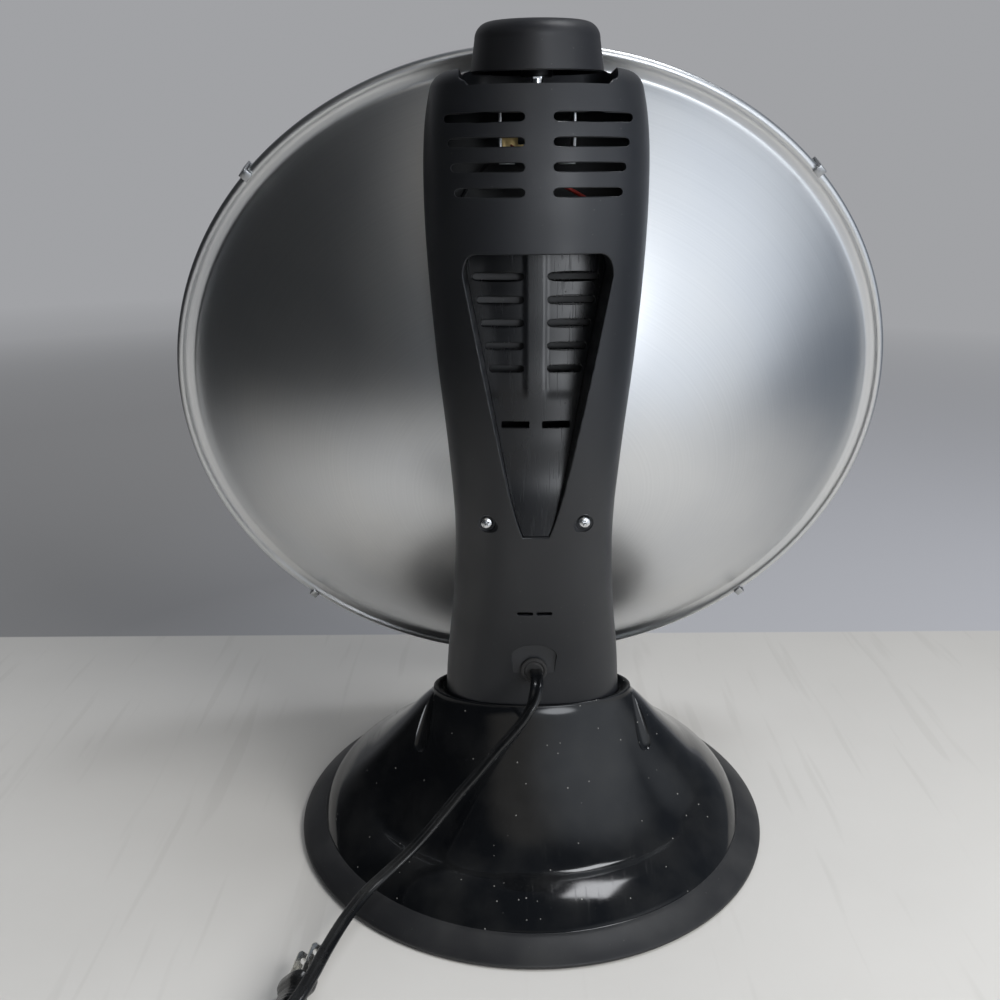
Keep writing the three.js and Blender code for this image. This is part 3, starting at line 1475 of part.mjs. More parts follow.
// From the bushing to the left blade of the socket.
const neutralRoute = [
  [-3, bushingEnd, reliefZ],
  [-4, bushingEnd - 4, reliefZ + 1],
  [-wireInnerX * 0.8, bushingEnd - 5, reliefZ + 12],
  [-wireInnerX, pivotY + 4, pivotZ - 12],
  [-wireInnerX, pivotY + 6, pivotZ + 6],
  [-wireInnerX, pivotY + 14, pivotZ + 16],
  [-14, bladeEnd.y + 3.5, bladeEnd.z - 7],
  [-terminalX, bladeEnd.y + 4.5, bladeEnd.z - 1.5],
  [-terminalX, bladeEnd.y, bladeEnd.z],
];

// From the bushing up the right side to the thermostat's contacts.
const supplyRoute = [
  [3, bushingEnd, reliefZ],
  [4, bushingEnd - 5, reliefZ + 1],
  [17, bushingEnd - 9, reliefZ + 14],
  [27, bushingEnd - 3, pivotZ - 12],
  [31, pivotY + 3, pivotZ + 14],
  [wireSideX, columnMiddle(dishVertexZ), dishVertexZ],
  [wireSideX + 2, columnMiddle(heightAt(0.47)) + 1, heightAt(0.47)],
  [wireSideX + 6, columnMiddle(heightAt(0.62)) + 1, heightAt(0.62)],
  [wireSideX + 7, columnMiddle(heightAt(0.75)) + 2, heightAt(0.75)],
  [wireSideX, contactsPlace.y - 12, contactsPlace.z - 22],
  [contactX + 8, contactsPlace.y - 14, contactsPlace.z - 5],
  [contactX, contactsPlace.y - 11, contactsPlace.z],
  [contactX, contactsPlace.y - 4 - 2 * seatGap, contactsPlace.z],
];

// From the contacts down the left side to the reed switch.
const switchedRoute = [
  [contactX, contactsPlace.y + 4 + 2 * seatGap, contactsPlace.z],
  [contactX, contactsPlace.y + 10, contactsPlace.z - 1],
  [0, contactsPlace.y + 13, contactsPlace.z - 12],
  [-24, contactsPlace.y + 10, contactsPlace.z - 24],
  [-wireSideX - 5, contactsPlace.y - 3, heightAt(0.78)],
  [-wireSideX - 6, columnMiddle(heightAt(0.65)) + 1, heightAt(0.65)],
  [-wireSideX - 2, columnMiddle(heightAt(0.47)) + 1, heightAt(0.47)],
  [-wireSideX, columnMiddle(dishVertexZ), dishVertexZ],
  [-31, pivotY + 4, pivotZ + 25],
  [-20, pivotY - 3, pivotZ + 18],
  [-terminalX, reedY, reedTop + 10],
  [-terminalX, reedY, reedTop],
];

// From the reed switch to the right blade of the socket.
const sensorRoute = [
  [terminalX, reedY, reedTop],
  [terminalX, reedY, reedTop + 6],
  [wireInnerX - 2, pivotY, pivotZ + 10.5],
  [wireInnerX, pivotY + 7, pivotZ + 13],
  [wireInnerX, pivotY + 16, pivotZ + 19],
  [13, bladeEnd.y + 3.5, bladeEnd.z - 7],
  [terminalX, bladeEnd.y + 4.5, bladeEnd.z - 1.5],
  [terminalX, bladeEnd.y, bladeEnd.z],
];

addPiece('wire_neutral', insideWire(neutralRoute, 18), finishes.whiteLead);
addPiece('wire_supply', insideWire(supplyRoute, 27), finishes.mattePlastic);
addPiece('wire_switched', insideWire(switchedRoute, 22), finishes.redLead);
addPiece('wire_sensor', insideWire(sensorRoute, 16), finishes.redLead);

// ---------------------------------------------------------------- cord bushing and plug

// A tapered bushing: a flange on the column's flat, a neck in its hole, and a long tail inside.
function reliefBushing() {
  const bushing = revolve(
    [
      [0, -reliefLength],
      [reliefTailRadius, -reliefLength],
      [reliefNeckRadius, -reliefPadThickness],
      [reliefNeckRadius, seatGap],
      [reliefFlangeRadius, seatGap],
      [reliefFlangeRadius, reliefFlangeHeight - 0.8],
      [reliefFlangeRadius - 1, reliefFlangeHeight],
      [0, reliefFlangeHeight],
    ],
    14,
  );
  return bushing.rotateX(-Math.PI / 2).translate(0, reliefFace, reliefZ);
}

// The plug's own group: local +Z is the way the blades point, local X the line between them.
const plugGroup = new THREE.Group();
const plugFacing = new THREE.Vector3(-0.22, -0.94, 0.26).normalize();
const plugAcross = new THREE.Vector3(-0.55, 0.48, 0.69);
plugAcross.addScaledVector(plugFacing, -plugAcross.dot(plugFacing)).normalize();
const plugThrough = new THREE.Vector3().crossVectors(plugFacing, plugAcross);
plugGroup.quaternion.setFromRotationMatrix(new THREE.Matrix4().makeBasis(plugAcross, plugThrough, plugFacing));
plugGroup.position.set(plugFaceX, plugFaceY, plugFaceZ);
heater.add(plugGroup);

// A moulded body that widens from the cord to the face, with a waist to grip.
function plugBody() {
  const stations = [
    [-plugLength, 4.6, 3.4],
    [-plugLength * 0.62, plugSpan * 0.27, plugDepth * 0.34],
    [-plugLength * 0.5, plugSpan * 0.44, plugDepth * 0.42],
    [-plugLength * 0.3, plugSpan * 0.41, plugDepth * 0.38],
    [-plugLength * 0.16, plugSpan * 0.48, plugDepth * 0.5],
    [-1, plugSpan * 0.5, plugDepth * 0.5],
    [0, plugSpan * 0.5 - 1, plugDepth * 0.5 - 1],
  ];
  const rings = stations.map(([height, halfSpan, halfDepth]) => {
    const ring = [];
    for (let side = 0; side < 12; side += 1) {
      const angle = (side / 12) * 2 * Math.PI;
      const x = Math.sign(Math.cos(angle)) * Math.abs(Math.cos(angle)) ** 0.6 * halfSpan;
      const y = Math.sign(Math.sin(angle)) * Math.abs(Math.sin(angle)) ** 0.6 * halfDepth;
      ring.push(new THREE.Vector3(x, y, height));
    }
    return ring;
  });
  return loft(rings);
}

// A flat blade with chamfered corners and a round hole.
function plugBlade(width) {
  const half = width / 2;
  const outline = new THREE.Shape();
  outline.moveTo(-half, seatGap);
  outline.lineTo(half, seatGap);
  outline.lineTo(half, bladeLength - 1.5);
  outline.lineTo(half - 1.2, bladeLength);
  outline.lineTo(-half + 1.2, bladeLength);
  outline.lineTo(-half, bladeLength - 1.5);
  const hole = new THREE.Path();
  hole.absarc(0, bladeLength - 4.5, bladeHoleRadius, 0, 2 * Math.PI, true);
  outline.holes.push(hole);
  const blade = new THREE.ExtrudeGeometry(outline, { depth: bladeThickness, bevelEnabled: false, curveSegments: 6 });
  return blade.rotateX(Math.PI / 2).rotateZ(Math.PI / 2).translate(-bladeThickness / 2, 0, 0);
}

addPiece('strain_relief_bushing', reliefBushing(), finishes.rubber);
addPiece('plug_body', plugBody(), finishes.cordJacket, plugGroup);
const wideBlade = addPiece('plug_blade_wide', plugBlade(wideBladeWidth), finishes.brass, plugGroup);
wideBlade.position.x = -bladeSpacing / 2;
const narrowBlade = addPiece('plug_blade_narrow', plugBlade(bladeWidth), finishes.brass, plugGroup);
narrowBlade.position.x = bladeSpacing / 2;

// ---------------------------------------------------------------- cord

const leadStart = reliefFace + reliefFlangeHeight + seatGap;
const coilLow = coilFloor + cordThickness / 2;
const coilHigh = coilLow + cordThickness + coilLayerGap;
const turnPitch = cordWidth + coilTurnGap;
const coilOuterRadius = coilInnerRadius + turnPitch * coilTurnsPerLayer;

// The six corners of the flat cord, across and up from its centre line.
const cordCorners = [
  [cordWidth / 2, 0],
  [cordWidth * 0.32, cordThickness / 2],
  [-cordWidth * 0.32, cordThickness / 2],
  [-cordWidth / 2, 0],
  [-cordWidth * 0.32, -cordThickness / 2],
  [cordWidth * 0.32, -cordThickness / 2],
];

// A flat twin cord through hand-placed points, whose wide side stays level all the way.
function flatCord(points, steps) {
  const path = new THREE.CatmullRomCurve3(points.map(([x, y, z]) => new THREE.Vector3(x, y, z)), false, 'centripetal');
  const upwards = new THREE.Vector3(0, 0, 1);
  const rings = [];
  for (let step = 0; step <= steps; step += 1) {
    const centre = path.getPointAt(step / steps);
    const along = path.getTangentAt(step / steps);
    const across = new THREE.Vector3().crossVectors(along, upwards).normalize();
    const normal = new THREE.Vector3().crossVectors(across, along);
    rings.push(cordCorners.map(([x, y]) => centre.clone().addScaledVector(across, x).addScaledVector(normal, y)));
  }
  return loft(rings.map((ring) => ring.reverse()));
}

// A height and a radius for each turn of the coil: inwards below, then outwards on top.
function coilPlace(turn) {
  const climb = THREE.MathUtils.smoothstep(turn, -0.25, 0.25);
  const angle = (turn + coilTurnsPerLayer - 0.25) * 2 * Math.PI;
  const radius = coilInnerRadius + turnPitch * Math.abs(turn);
  return { angle, radius, height: THREE.MathUtils.lerp(coilLow, coilHigh, climb) };
}

// The least distance between two coil sections at one angle, from the faces that part them.
function sectionGap(first, second) {
  let widest = -Infinity;
  for (let corner = 0; corner < 6; corner += 1) {
    const [outA, upA] = cordCorners[corner];
    const [outB, upB] = cordCorners[(corner + 1) % 6];
    const normal = new THREE.Vector2(upB - upA, outA - outB).normalize();
    for (const sign of [1, -1]) {
      const reach = (place) => cordCorners.map(([out, up]) => (place.radius + out) * normal.x + (place.height + up) * normal.y);
      const far = reach(first).map((value) => value * sign);
      const near = reach(second).map((value) => value * sign);
      widest = Math.max(widest, Math.min(...near) - Math.max(...far));
    }
  }
  return widest;
}

function cordCoil() {
  const steps = Math.round(2 * coilTurnsPerLayer * coilStepsPerTurn);
  const rings = [];
  const places = [];
  for (let step = 0; step <= steps; step += 1) {
    const place = coilPlace(-coilTurnsPerLayer + step / coilStepsPerTurn);
    places.push(place);
    const outwards = new THREE.Vector3(Math.cos(place.angle), Math.sin(place.angle), 0);
    rings.push(
      cordCorners.map(([out, up]) => {
        const point = outwards.clone().multiplyScalar(place.radius + out);
        return new THREE.Vector3(coilCentreX + point.x, coilCentreY + point.y, place.height + up);
      }),
    );
  }
  let leastGap = Infinity;
  for (let first = 0; first < places.length; first += 1) {
    for (let second = first + coilStepsPerTurn; second < places.length; second += coilStepsPerTurn) {
      leastGap = Math.min(leastGap, sectionGap(places[first], places[second]));
    }
  }
  console.log(`cord coil: least gap to itself ${leastGap.toFixed(2)} mm`);
  return loft(rings.map((ring) => ring.reverse()));
}

// A strap round all the turns at one place.
function cordTie() {
  const angle = 45 * degrees;
  const least = coilInnerRadius + turnPitch * 0.5 - cordWidth / 2 - 3 * seatGap;
  const most = coilInnerRadius + turnPitch * (coilTurnsPerLayer - 0.375) + cordWidth / 2 + 3 * seatGap;
  const low = coilFloor - seatGap;
  const high = coilHigh + cordThickness / 2 + seatGap;
  const outer = new THREE.Shape();
  const t = tieThickness;
  outer.moveTo(least - t, low - t);
  outer.lineTo(most + t, low - t);
  outer.lineTo(most + t, high + t);
  outer.lineTo(least - t, high + t);
  const inner = new THREE.Path();
  inner.moveTo(least, low);
  inner.lineTo(least, high);
  inner.lineTo(most, high);
  inner.lineTo(most, low);
  outer.holes.push(inner);
  const strap = new THREE.ExtrudeGeometry(outer, { depth: tieWidth, bevelEnabled: false });
  return strap.rotateX(Math.PI / 2).translate(0, tieWidth / 2, 0).rotateZ(angle).translate(coilCentreX, coilCentreY, 0);
}

// From the bushing down over the bell, over the plug in a low hump, and into the coil.
function cordLead() {
  const entryY = coilCentreY - coilOuterRadius;
  return flatCord(
    [
      [cordExitX, leadStart, reliefZ],
      [cordExitX - 0.1, leadStart + 7, reliefZ],
      [-1.1, 72, 121.6],
      [1, 76.3, 115],
      [5.4, 78, 107],
      [11.8, 79, 98.6],
      [19, 79.6, 90],
      [29.3, 80.5, 77],
      [40.2, 82.5, 64.5],
      [49, 85, 54],
      [58, 88.5, 44],
      [68.5, 93, 34.2],
      [79, 99, 27],
      [89.5, 111, 23.4],
      [97.5, 130, 23],
      [103.5, 153, 24.2],
      [107.6, 172, 25],
      [111.6, 184, 24.2],
      [119, 192.4, 21],
      [130, 196.8, 13.6],
      [142, entryY, 7.2],
      [154, entryY, 4.1],
      [coilCentreX - cordWidth - seatGap, entryY, coilLow],
      [coilCentreX - seatGap, entryY, coilLow],
    ],
    leadSteps,
  );
}

// From the top of the coil round to the back of the plug.
function cordTail() {
  const exitX = coilCentreX - coilOuterRadius;
  const rear = new THREE.Vector3(plugFaceX, plugFaceY, plugFaceZ);
  const behindPlug = (distance) => rear.clone().addScaledVector(plugFacing, -plugLength - distance).toArray();
  return flatCord(
    [
      [exitX, coilCentreY - seatGap, coilHigh],
      [exitX, coilCentreY - seatGap - cordWidth, coilHigh - 0.05],
      [exitX - 0.4, coilCentreY - 20, 5.6],
      [exitX - 1, coilCentreY - 32, 3.4],
      behindPlug(cordWidth + 5),
      behindPlug(cordWidth),
      behindPlug(seatGap),
    ],
    14,
  );
}

addPiece('cord_lead', cordLead(), finishes.cordJacket);
addPiece('cord_coil', cordCoil(), finishes.cordJacket);
addPiece('cord_tail', cordTail(), finishes.cordJacket);
addPiece('cord_tie', cordTie(), finishes.rubber);

export default heater;
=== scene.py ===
import math

import bmesh
import bpy
import numpy as np
from mathutils import Matrix, Vector
from mathutils.bvhtree import BVHTree


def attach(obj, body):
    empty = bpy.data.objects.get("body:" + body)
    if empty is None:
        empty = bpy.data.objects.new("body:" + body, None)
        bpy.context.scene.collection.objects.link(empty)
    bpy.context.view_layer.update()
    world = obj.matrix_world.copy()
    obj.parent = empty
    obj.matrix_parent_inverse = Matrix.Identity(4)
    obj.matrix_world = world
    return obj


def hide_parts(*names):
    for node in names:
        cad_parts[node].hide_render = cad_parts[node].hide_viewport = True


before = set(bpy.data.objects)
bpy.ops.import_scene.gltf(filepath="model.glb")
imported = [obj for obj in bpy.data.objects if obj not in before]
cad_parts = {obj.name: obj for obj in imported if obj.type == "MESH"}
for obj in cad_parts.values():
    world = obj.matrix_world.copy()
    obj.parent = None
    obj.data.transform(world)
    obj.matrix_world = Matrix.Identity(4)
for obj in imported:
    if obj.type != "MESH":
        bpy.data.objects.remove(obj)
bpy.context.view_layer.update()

MM = 0.001
TAU = 2 * math.pi

# ------------------------------------------------------------------ sizes, in millimetres

BASE_RADIUS, BELL_RADIUS, SKIRT_TOP, BASE_LIFT = 142.0, 127.7, 11.5, 1.2
COLLAR_X, COLLAR_Y, COLLAR_TOP, SEAT_Z = 57.3, 26.7, 100.0, 95.0
FOOT_Y, FOOT_Z, COLUMN_HEIGHT = 26.0, 95.3, 330.0
COLUMN_TOP = FOOT_Z + COLUMN_HEIGHT
COLUMN_WALL, TOP_ROUNDING = 2.6, 7.0
REAR_POWER, FRONT_POWER = 2.3, 2.8
TILT = math.radians(20.47)
DISH_RADIUS, DISH_DEPTH, DISH_FLAT = 209.5, 88.5, 32.0
BEAD_RADIUS, BAND_WIDTH, DISH_WALL = 2.6, 5.0, 1.2
DISH_Y, DISH_Z = 37.55, 214.5
BOWL_RADIUS = DISH_RADIUS - 2 * BEAD_RADIUS - BAND_WIDTH
CORD_WIDTH, CORD_THICKNESS = 7.0, 3.8
SHELL_SCREW_X, FOOT_SCREW_X, FOOT_SCREW_REAR, FOOT_SCREW_FRONT = 24.3, 30, 39.5, 12.5
DISH_SCREW_CIRCLE, DISH_SCREWS, SCREW_HOLE = 25.5, 3, 1.9
PLATE_SCREW_CIRCLE, HOOPS, SPOKES = 100, 6, 8
PANEL_TOP = COLUMN_TOP - 77


# ------------------------------------------------------------------ camera

def set_camera():
    """The photograph's viewpoint: behind the heater, a little above its middle."""
    data = bpy.data.cameras.new("photo_view")
    data.sensor_width = 36.0
    data.lens = 36.0
    camera = bpy.data.objects.new("photo_view", data)
    bpy.context.collection.objects.link(camera)
    right = Vector((-0.999972, -0.000286, -0.007058))
    up = Vector((-0.006639, -0.303200, 0.952904))
    back = Vector((-0.002412, 0.952927, 0.303191))
    turn = Matrix((right, up, back)).transposed().to_4x4()
    camera.matrix_world = Matrix.Translation((0.016482, 0.549223, 0.378640)) @ turn
    data.clip_start, data.clip_end = 0.01, 20.0
    bpy.context.scene.camera = camera


set_camera()
bpy.context.scene.view_settings.view_transform = "Standard"



# ------------------------------------------------------------------ material helpers

class Nodes:
    """Short ways to add nodes to a tree and join them up."""

    def __init__(self, tree):
        self.nodes = tree.nodes
        self.links = tree.links

    def add(self, kind, **inputs):
        node = self.nodes.new(kind)
        for key, value in inputs.items():
            name = key.replace("_", " ")
            if name in node.inputs:
                self.feed(node.inputs[name], value)
            else:
                setattr(node, key, value)
        return node

    def feed(self, socket, value):
        """Gives a socket a link, a number or a colour."""
        if hasattr(value, "is_linked"):
            self.links.new(value, socket)
        elif isinstance(value, tuple) and len(value) == 3 and socket.type == "RGBA":
            socket.default_value = (*value, 1.0)
        else:
            socket.default_value = value

    def place(self):
        """Object coordinates, in metres."""
        return self.add("ShaderNodeTexCoord").outputs["Object"]

    def noise(self, scale, detail=3.0, roughness=0.55, place=None):
        vector = place or self.place()
        node = self.add("ShaderNodeTexNoise", Scale=scale, Detail=detail, Roughness=roughness, Vector=vector)
        return node.outputs["Fac"]

    def ramp(self, source, stops):
        node = self.add("ShaderNodeValToRGB", Fac=source)
        elements = node.color_ramp.elements
        while len(elements) < len(stops):
            elements.new(0.5)
        for element, (position, value) in zip(elements, stops):
            element.position = position
            element.color = (*value, 1.0)
        return node.outputs["Color"]

    def curve(self, source, low, high, to_low=0.0, to_high=1.0):
        """Maps the range from low to high onto another one, and holds its ends."""
        limits = {"From_Min": low, "From_Max": high, "To_Min": to_low, "To_Max": to_high}
        return self.add("ShaderNodeMapRange", Value=source, **limits).outputs["Result"]

    def math(self, operation, first, second=None):
        node = self.add("ShaderNodeMath", operation=operation)
        self.feed(node.inputs[0], first)
        if second is not None:
            self.feed(node.inputs[1], second)
        return node.outputs[0]

    def mix(self, factor, first, second):
        node = self.add("ShaderNodeMix", data_type="RGBA")
        for socket, value in zip((node.inputs["Factor"], node.inputs[6], node.inputs[7]),
                                 (factor, first, second)):
            self.feed(socket, value)
        return node.outputs[2]

    def group(self, tree, **inputs):
        node = self.nodes.new("ShaderNodeGroup")
        node.node_tree = tree
        for key, value in inputs.items():
            self.feed(node.inputs[key.replace("_", " ")], value)
        return node.outputs

    def bump(self, height, strength, distance, normal=None):
        node = self.add("ShaderNodeBump", Strength=strength, Distance=distance, Height=height)
        if normal is not None:
            self.feed(node.inputs["Normal"], normal)
        return node.outputs["Normal"]

    def split(self, vector):
        """The X, Y and Z of a vector."""
        return self.add("ShaderNodeSeparateXYZ", Vector=vector).outputs

    def distance_from_axis(self, parts):
        squares = self.math("ADD", self.math("POWER", parts["X"], 2.0), self.math("POWER", parts["Y"], 2.0))
        return self.math("SQRT", squares)


class Finish(Nodes):
    """A material in the making."""

    def __init__(self, name):
        self.material = bpy.data.materials.new(name)
        self.material.use_nodes = True
        super().__init__(self.material.node_tree)
        self.shader = self.nodes["Principled BSDF"]

    def set(self, **values):
        for key, value in values.items():
            self.feed(self.shader.inputs[key.replace("_", " ")], value)
        return self.material


FLOAT = "NodeSocketFloat"


def make_group(name, inputs, build):
    """A shared effect as a node group: numbers in, one mask out."""
    tree = bpy.data.node_groups.new(name, "ShaderNodeTree")
    for label, value in inputs.items():
        socket = tree.interface.new_socket(name=label, in_out="INPUT", socket_type=FLOAT)
        socket.default_value = value
    tree.interface.new_socket(name="Mask", in_out="OUTPUT", socket_type=FLOAT)
    n = Nodes(tree)
    enter = n.add("NodeGroupInput").outputs
    mask = n.math("MULTIPLY", build(n, enter), enter["Amount"])
    mask.node.use_clamp = True
    n.feed(n.add("NodeGroupOutput").inputs["Mask"], mask)
    return tree


def settled_dust(n, enter):
    """Fine specks everywhere, and a film that is thicker on faces that look up."""
    specks = n.add("ShaderNodeTexVoronoi", feature="F1", Vector=n.place(), Scale=enter["Speck Scale"])
    dot = n.curve(specks.outputs["Distance"], 0.085, 0.045)
    chance = n.add("ShaderNodeSeparateColor", Color=specks.outputs["Color"]).outputs["Red"]
    few = n.math("MULTIPLY", dot, n.math("GREATER_THAN", chance, 0.5))
    haze = n.curve(n.noise(34.0, 6.0, 0.5), 0.42, 0.78, 0.0, enter["Film"])
    facing = n.split(n.add("ShaderNodeNewGeometry").outputs["Normal"])["Z"]
    veil = n.math("MULTIPLY", haze, n.curve(facing, -0.1, 0.95, 0.12))
    return n.math("MAXIMUM", few, veil)


def hairline_scratches(n, enter):
    """Fine scratches that run in three directions."""
    total = 0.0
    for turn, stretch in ((0.4, 11.0), (1.5, 17.0), (2.6, 14.0)):
        turned = n.add("ShaderNodeMapping", Vector=n.place(), Rotation=(turn, turn * 0.6, turn * 1.7))
        turned.inputs["Scale"].default_value = (stretch, 1.0, 1.0)
        streak = n.noise(enter["Scale"], 2.0, 0.5, turned.outputs["Vector"])
        total = n.math("MAXIMUM", n.curve(streak, 0.645, 0.70), total)
    return total


def rubbed_edges(n, enter):
    """Lighter rubbed edges, broken up by noise."""
    edge = n.curve(n.add("ShaderNodeNewGeometry").outputs["Pointiness"], 0.53, 0.62)
    return n.math("MULTIPLY", edge, n.curve(n.noise(130.0, 4.0, 0.5), 0.4, 0.65))


DUST = make_group("settled_dust", {"Amount": 0.4, "Speck Scale": 170.0, "Film": 0.5}, settled_dust)
SCRATCHES = make_group("hairline_scratches", {"Amount": 0.3, "Scale": 60.0}, hairline_scratches)
EDGE_WEAR = make_group("rubbed_edges", {"Amount": 0.5}, rubbed_edges)

DUST_COLOUR = (0.42, 0.42, 0.40)



def gloss_black(name, colour=(0.0035, 0.004, 0.005), dust=0.8, roughness=0.07):
    """Polished black moulding with a dust film and light scratches."""
    f = Finish(name)
    mask = f.group(DUST, Amount=dust, Film=0.07)["Mask"]
    scratch = f.group(SCRATCHES, Amount=0.35, Scale=38.0)["Mask"]
    base = f.mix(f.math("MULTIPLY", mask, 0.6), colour, DUST_COLOUR)
    shine = f.math("ADD", f.curve(f.noise(18.0, 4.0), 0.3, 0.75, roughness, roughness + 0.07),
                   f.math("MULTIPLY", mask, 0.45))
    shine = f.math("ADD", shine, f.math("MULTIPLY", scratch, 0.25))
    normal = f.bump(f.noise(55.0, 2.0), 0.012, 0.002)
    return f.set(Base_Color=base, Roughness=shine, Normal=normal, IOR=1.49)


def matte_black(name, colour=(0.021, 0.022, 0.025), roughness=0.46, grain=1500.0, dust=0.35):
    """Fine spark-eroded grain on black plastic, rubbed a little on its edges."""
    f = Finish(name)
    mask = f.group(DUST, Amount=dust, Speck_Scale=230.0, Film=0.35)["Mask"]
    wear = f.group(EDGE_WEAR, Amount=0.35)["Mask"]
    tone = f.mix(f.curve(f.noise(9.0, 3.0), 0.35, 0.7), colour, tuple(c * 1.35 for c in colour))
    tone = f.mix(wear, tone, tuple(min(1.0, c * 3.2) for c in colour))
    tone = f.mix(f.math("MULTIPLY", mask, 0.3), tone, DUST_COLOUR)
    rough = f.curve(f.noise(26.0, 5.0), 0.3, 0.7, roughness - 0.05, roughness + 0.07)
    rough = f.math("ADD", rough, f.math("MULTIPLY", mask, 0.2))
    normal = f.bump(f.noise(grain, 2.0), 0.22, 0.00012)
    normal = f.bump(f.noise(45.0, 2.0), 0.02, 0.002, normal)
    return f.set(Base_Color=tone, Roughness=rough, Normal=normal, IOR=1.54)


def spun_aluminium(name):
    """Satin spun sheet: faint rings round the dish's axis, soft blotches, dust and small dents."""
    f = Finish(name)
    mapping = f.add("ShaderNodeMapping", Vector=f.place())
    mapping.inputs["Location"].default_value = (0.0, *turned_to_dish(-DISH_Y * MM, -DISH_Z * MM))
    mapping.inputs["Rotation"].default_value = (-(math.pi / 2 - TILT), 0.0, 0.0)
    local = mapping.outputs["Vector"]
    radius = f.distance_from_axis(f.split(local))
    ring_place = f.add("ShaderNodeCombineXYZ", X=radius).outputs["Vector"]
    rings = f.noise(900.0, 3.0, 0.7, ring_place)
    broad = f.noise(150.0, 2.0, 0.5, ring_place)
    blotch = f.noise(7.5, 3.0, 0.5, local)
    mask = f.group(DUST, Amount=0.55, Speck_Scale=190.0)["Mask"]
    tone = f.ramp(blotch, [(0.25, (0.70, 0.715, 0.74)), (0.5, (0.78, 0.79, 0.80)),
                           (0.75, (0.84, 0.835, 0.82))])
    tone = f.mix(f.curve(rings, 0.3, 0.7, 0.0, 0.14), tone, (0.42, 0.43, 0.45))
    tone = f.mix(f.math("MULTIPLY", mask, 0.22), tone, (0.75, 0.75, 0.73))
    rough = f.curve(blotch, 0.3, 0.7, 0.30, 0.37)
    rough = f.math("ADD", rough, f.curve(rings, 0.3, 0.7, -0.02, 0.03))
    rough = f.math("ADD", rough, f.math("MULTIPLY", mask, 0.12))
    normal = f.bump(rings, 0.05, 0.0003)
    normal = f.bump(broad, 0.05, 0.0012, normal)
    normal = f.bump(f.noise(11.0, 1.5, 0.4, local), 0.16, 0.006, normal)
    return f.set(Base_Color=tone, Metallic=1.0, Roughness=rough, Normal=normal)


def turned_to_dish(y, z):
    """A point of the Y-Z plane in the dish's own directions."""
    turn = -(math.pi / 2 - TILT)
    return (y * math.cos(turn) - z * math.sin(turn), y * math.sin(turn) + z * math.cos(turn))


def bare_metal(name, colour, roughness, grain=420.0, stain=0.25):
    """Plated or rolled metal with a fine grain and a few dull stains."""
    f = Finish(name)
    stains = f.curve(f.noise(60.0, 5.0, 0.65), 0.5, 0.75, 0.0, stain)
    wear = f.group(SCRATCHES, Amount=0.5, Scale=120.0)["Mask"]
    tone = f.mix(stains, colour, tuple(c * 0.45 for c in colour))
    rough = f.curve(f.noise(grain, 3.0), 0.3, 0.7, roughness - 0.05, roughness + 0.08)
    rough = f.math("ADD", rough, f.math("MULTIPLY", stains, 0.35))
    rough = f.math("ADD", rough, f.math("MULTIPLY", wear, 0.2))
    normal = f.bump(f.noise(grain, 2.0), 0.08, 0.0002)
    return f.set(Base_Color=tone, Metallic=1.0, Roughness=rough, Normal=normal)


def ceramic(name):
    """Pale unglazed ceramic with a speckle and a brown tinge from heat."""
    f = Finish(name)
    tone = f.ramp(f.noise(45.0, 5.0), [(0.3, (0.60, 0.55, 0.46)), (0.6, (0.74, 0.71, 0.64))])
    tone = f.mix(f.curve(f.noise(900.0, 1.0), 0.66, 0.72, 0.0, 0.5), tone, (0.30, 0.26, 0.21))
    normal = f.bump(f.noise(700.0, 3.0), 0.2, 0.0002)
    return f.set(Base_Color=tone, Roughness=f.curve(f.noise(200.0), 0.3, 0.7, 0.5, 0.68), Normal=normal)


def heating_wire(name):
    """Oxidised resistance wire wound into a tight coil."""
    f = Finish(name)
    tone = f.ramp(f.noise(160.0, 4.0), [(0.35, (0.13, 0.10, 0.085)), (0.7, (0.27, 0.23, 0.20))])
    normal = f.bump(f.noise(1200.0, 2.0), 0.3, 0.0002)
    return f.set(Base_Color=tone, Metallic=0.85, Roughness=f.curve(f.noise(300.0), 0.3, 0.7, 0.42, 0.6),
                 Normal=normal)


def rubber(name, colour=(0.018, 0.018, 0.019)):
    """Dull moulded rubber with dust in its grain."""
    f = Finish(name)
    mask = f.group(DUST, Amount=0.5)["Mask"]
    tone = f.mix(f.math("MULTIPLY", mask, 0.4), colour, DUST_COLOUR)
    normal = f.bump(f.noise(1100.0, 3.0), 0.25, 0.0002)
    return f.set(Base_Color=tone, Roughness=f.curve(f.noise(240.0), 0.3, 0.7, 0.66, 0.82), Normal=normal)


def cord_vinyl(name):
    """Soft black vinyl, satin, with fine wrinkles and dust."""
    f = Finish(name)
    mask = f.group(DUST, Amount=0.6, Speck_Scale=420.0)["Mask"]
    tone = f.mix(f.math("MULTIPLY", mask, 0.2), (0.0045, 0.005, 0.006), DUST_COLOUR)
    rough = f.curve(f.noise(90.0, 4.0), 0.3, 0.7, 0.2, 0.3)
    normal = f.bump(f.noise(650.0, 2.0), 0.10, 0.0002)
    return f.set(Base_Color=tone, Roughness=f.math("ADD", rough, f.math("MULTIPLY", mask, 0.2)),
                 Normal=normal)


def wire_insulation(name, colour):
    """Plain coloured insulation, a little mottled."""
    f = Finish(name)
    tone = f.mix(f.curve(f.noise(300.0), 0.35, 0.7), colour, tuple(c * 0.7 for c in colour))
    return f.set(Base_Color=tone, Roughness=f.curve(f.noise(150.0), 0.3, 0.7, 0.42, 0.55))


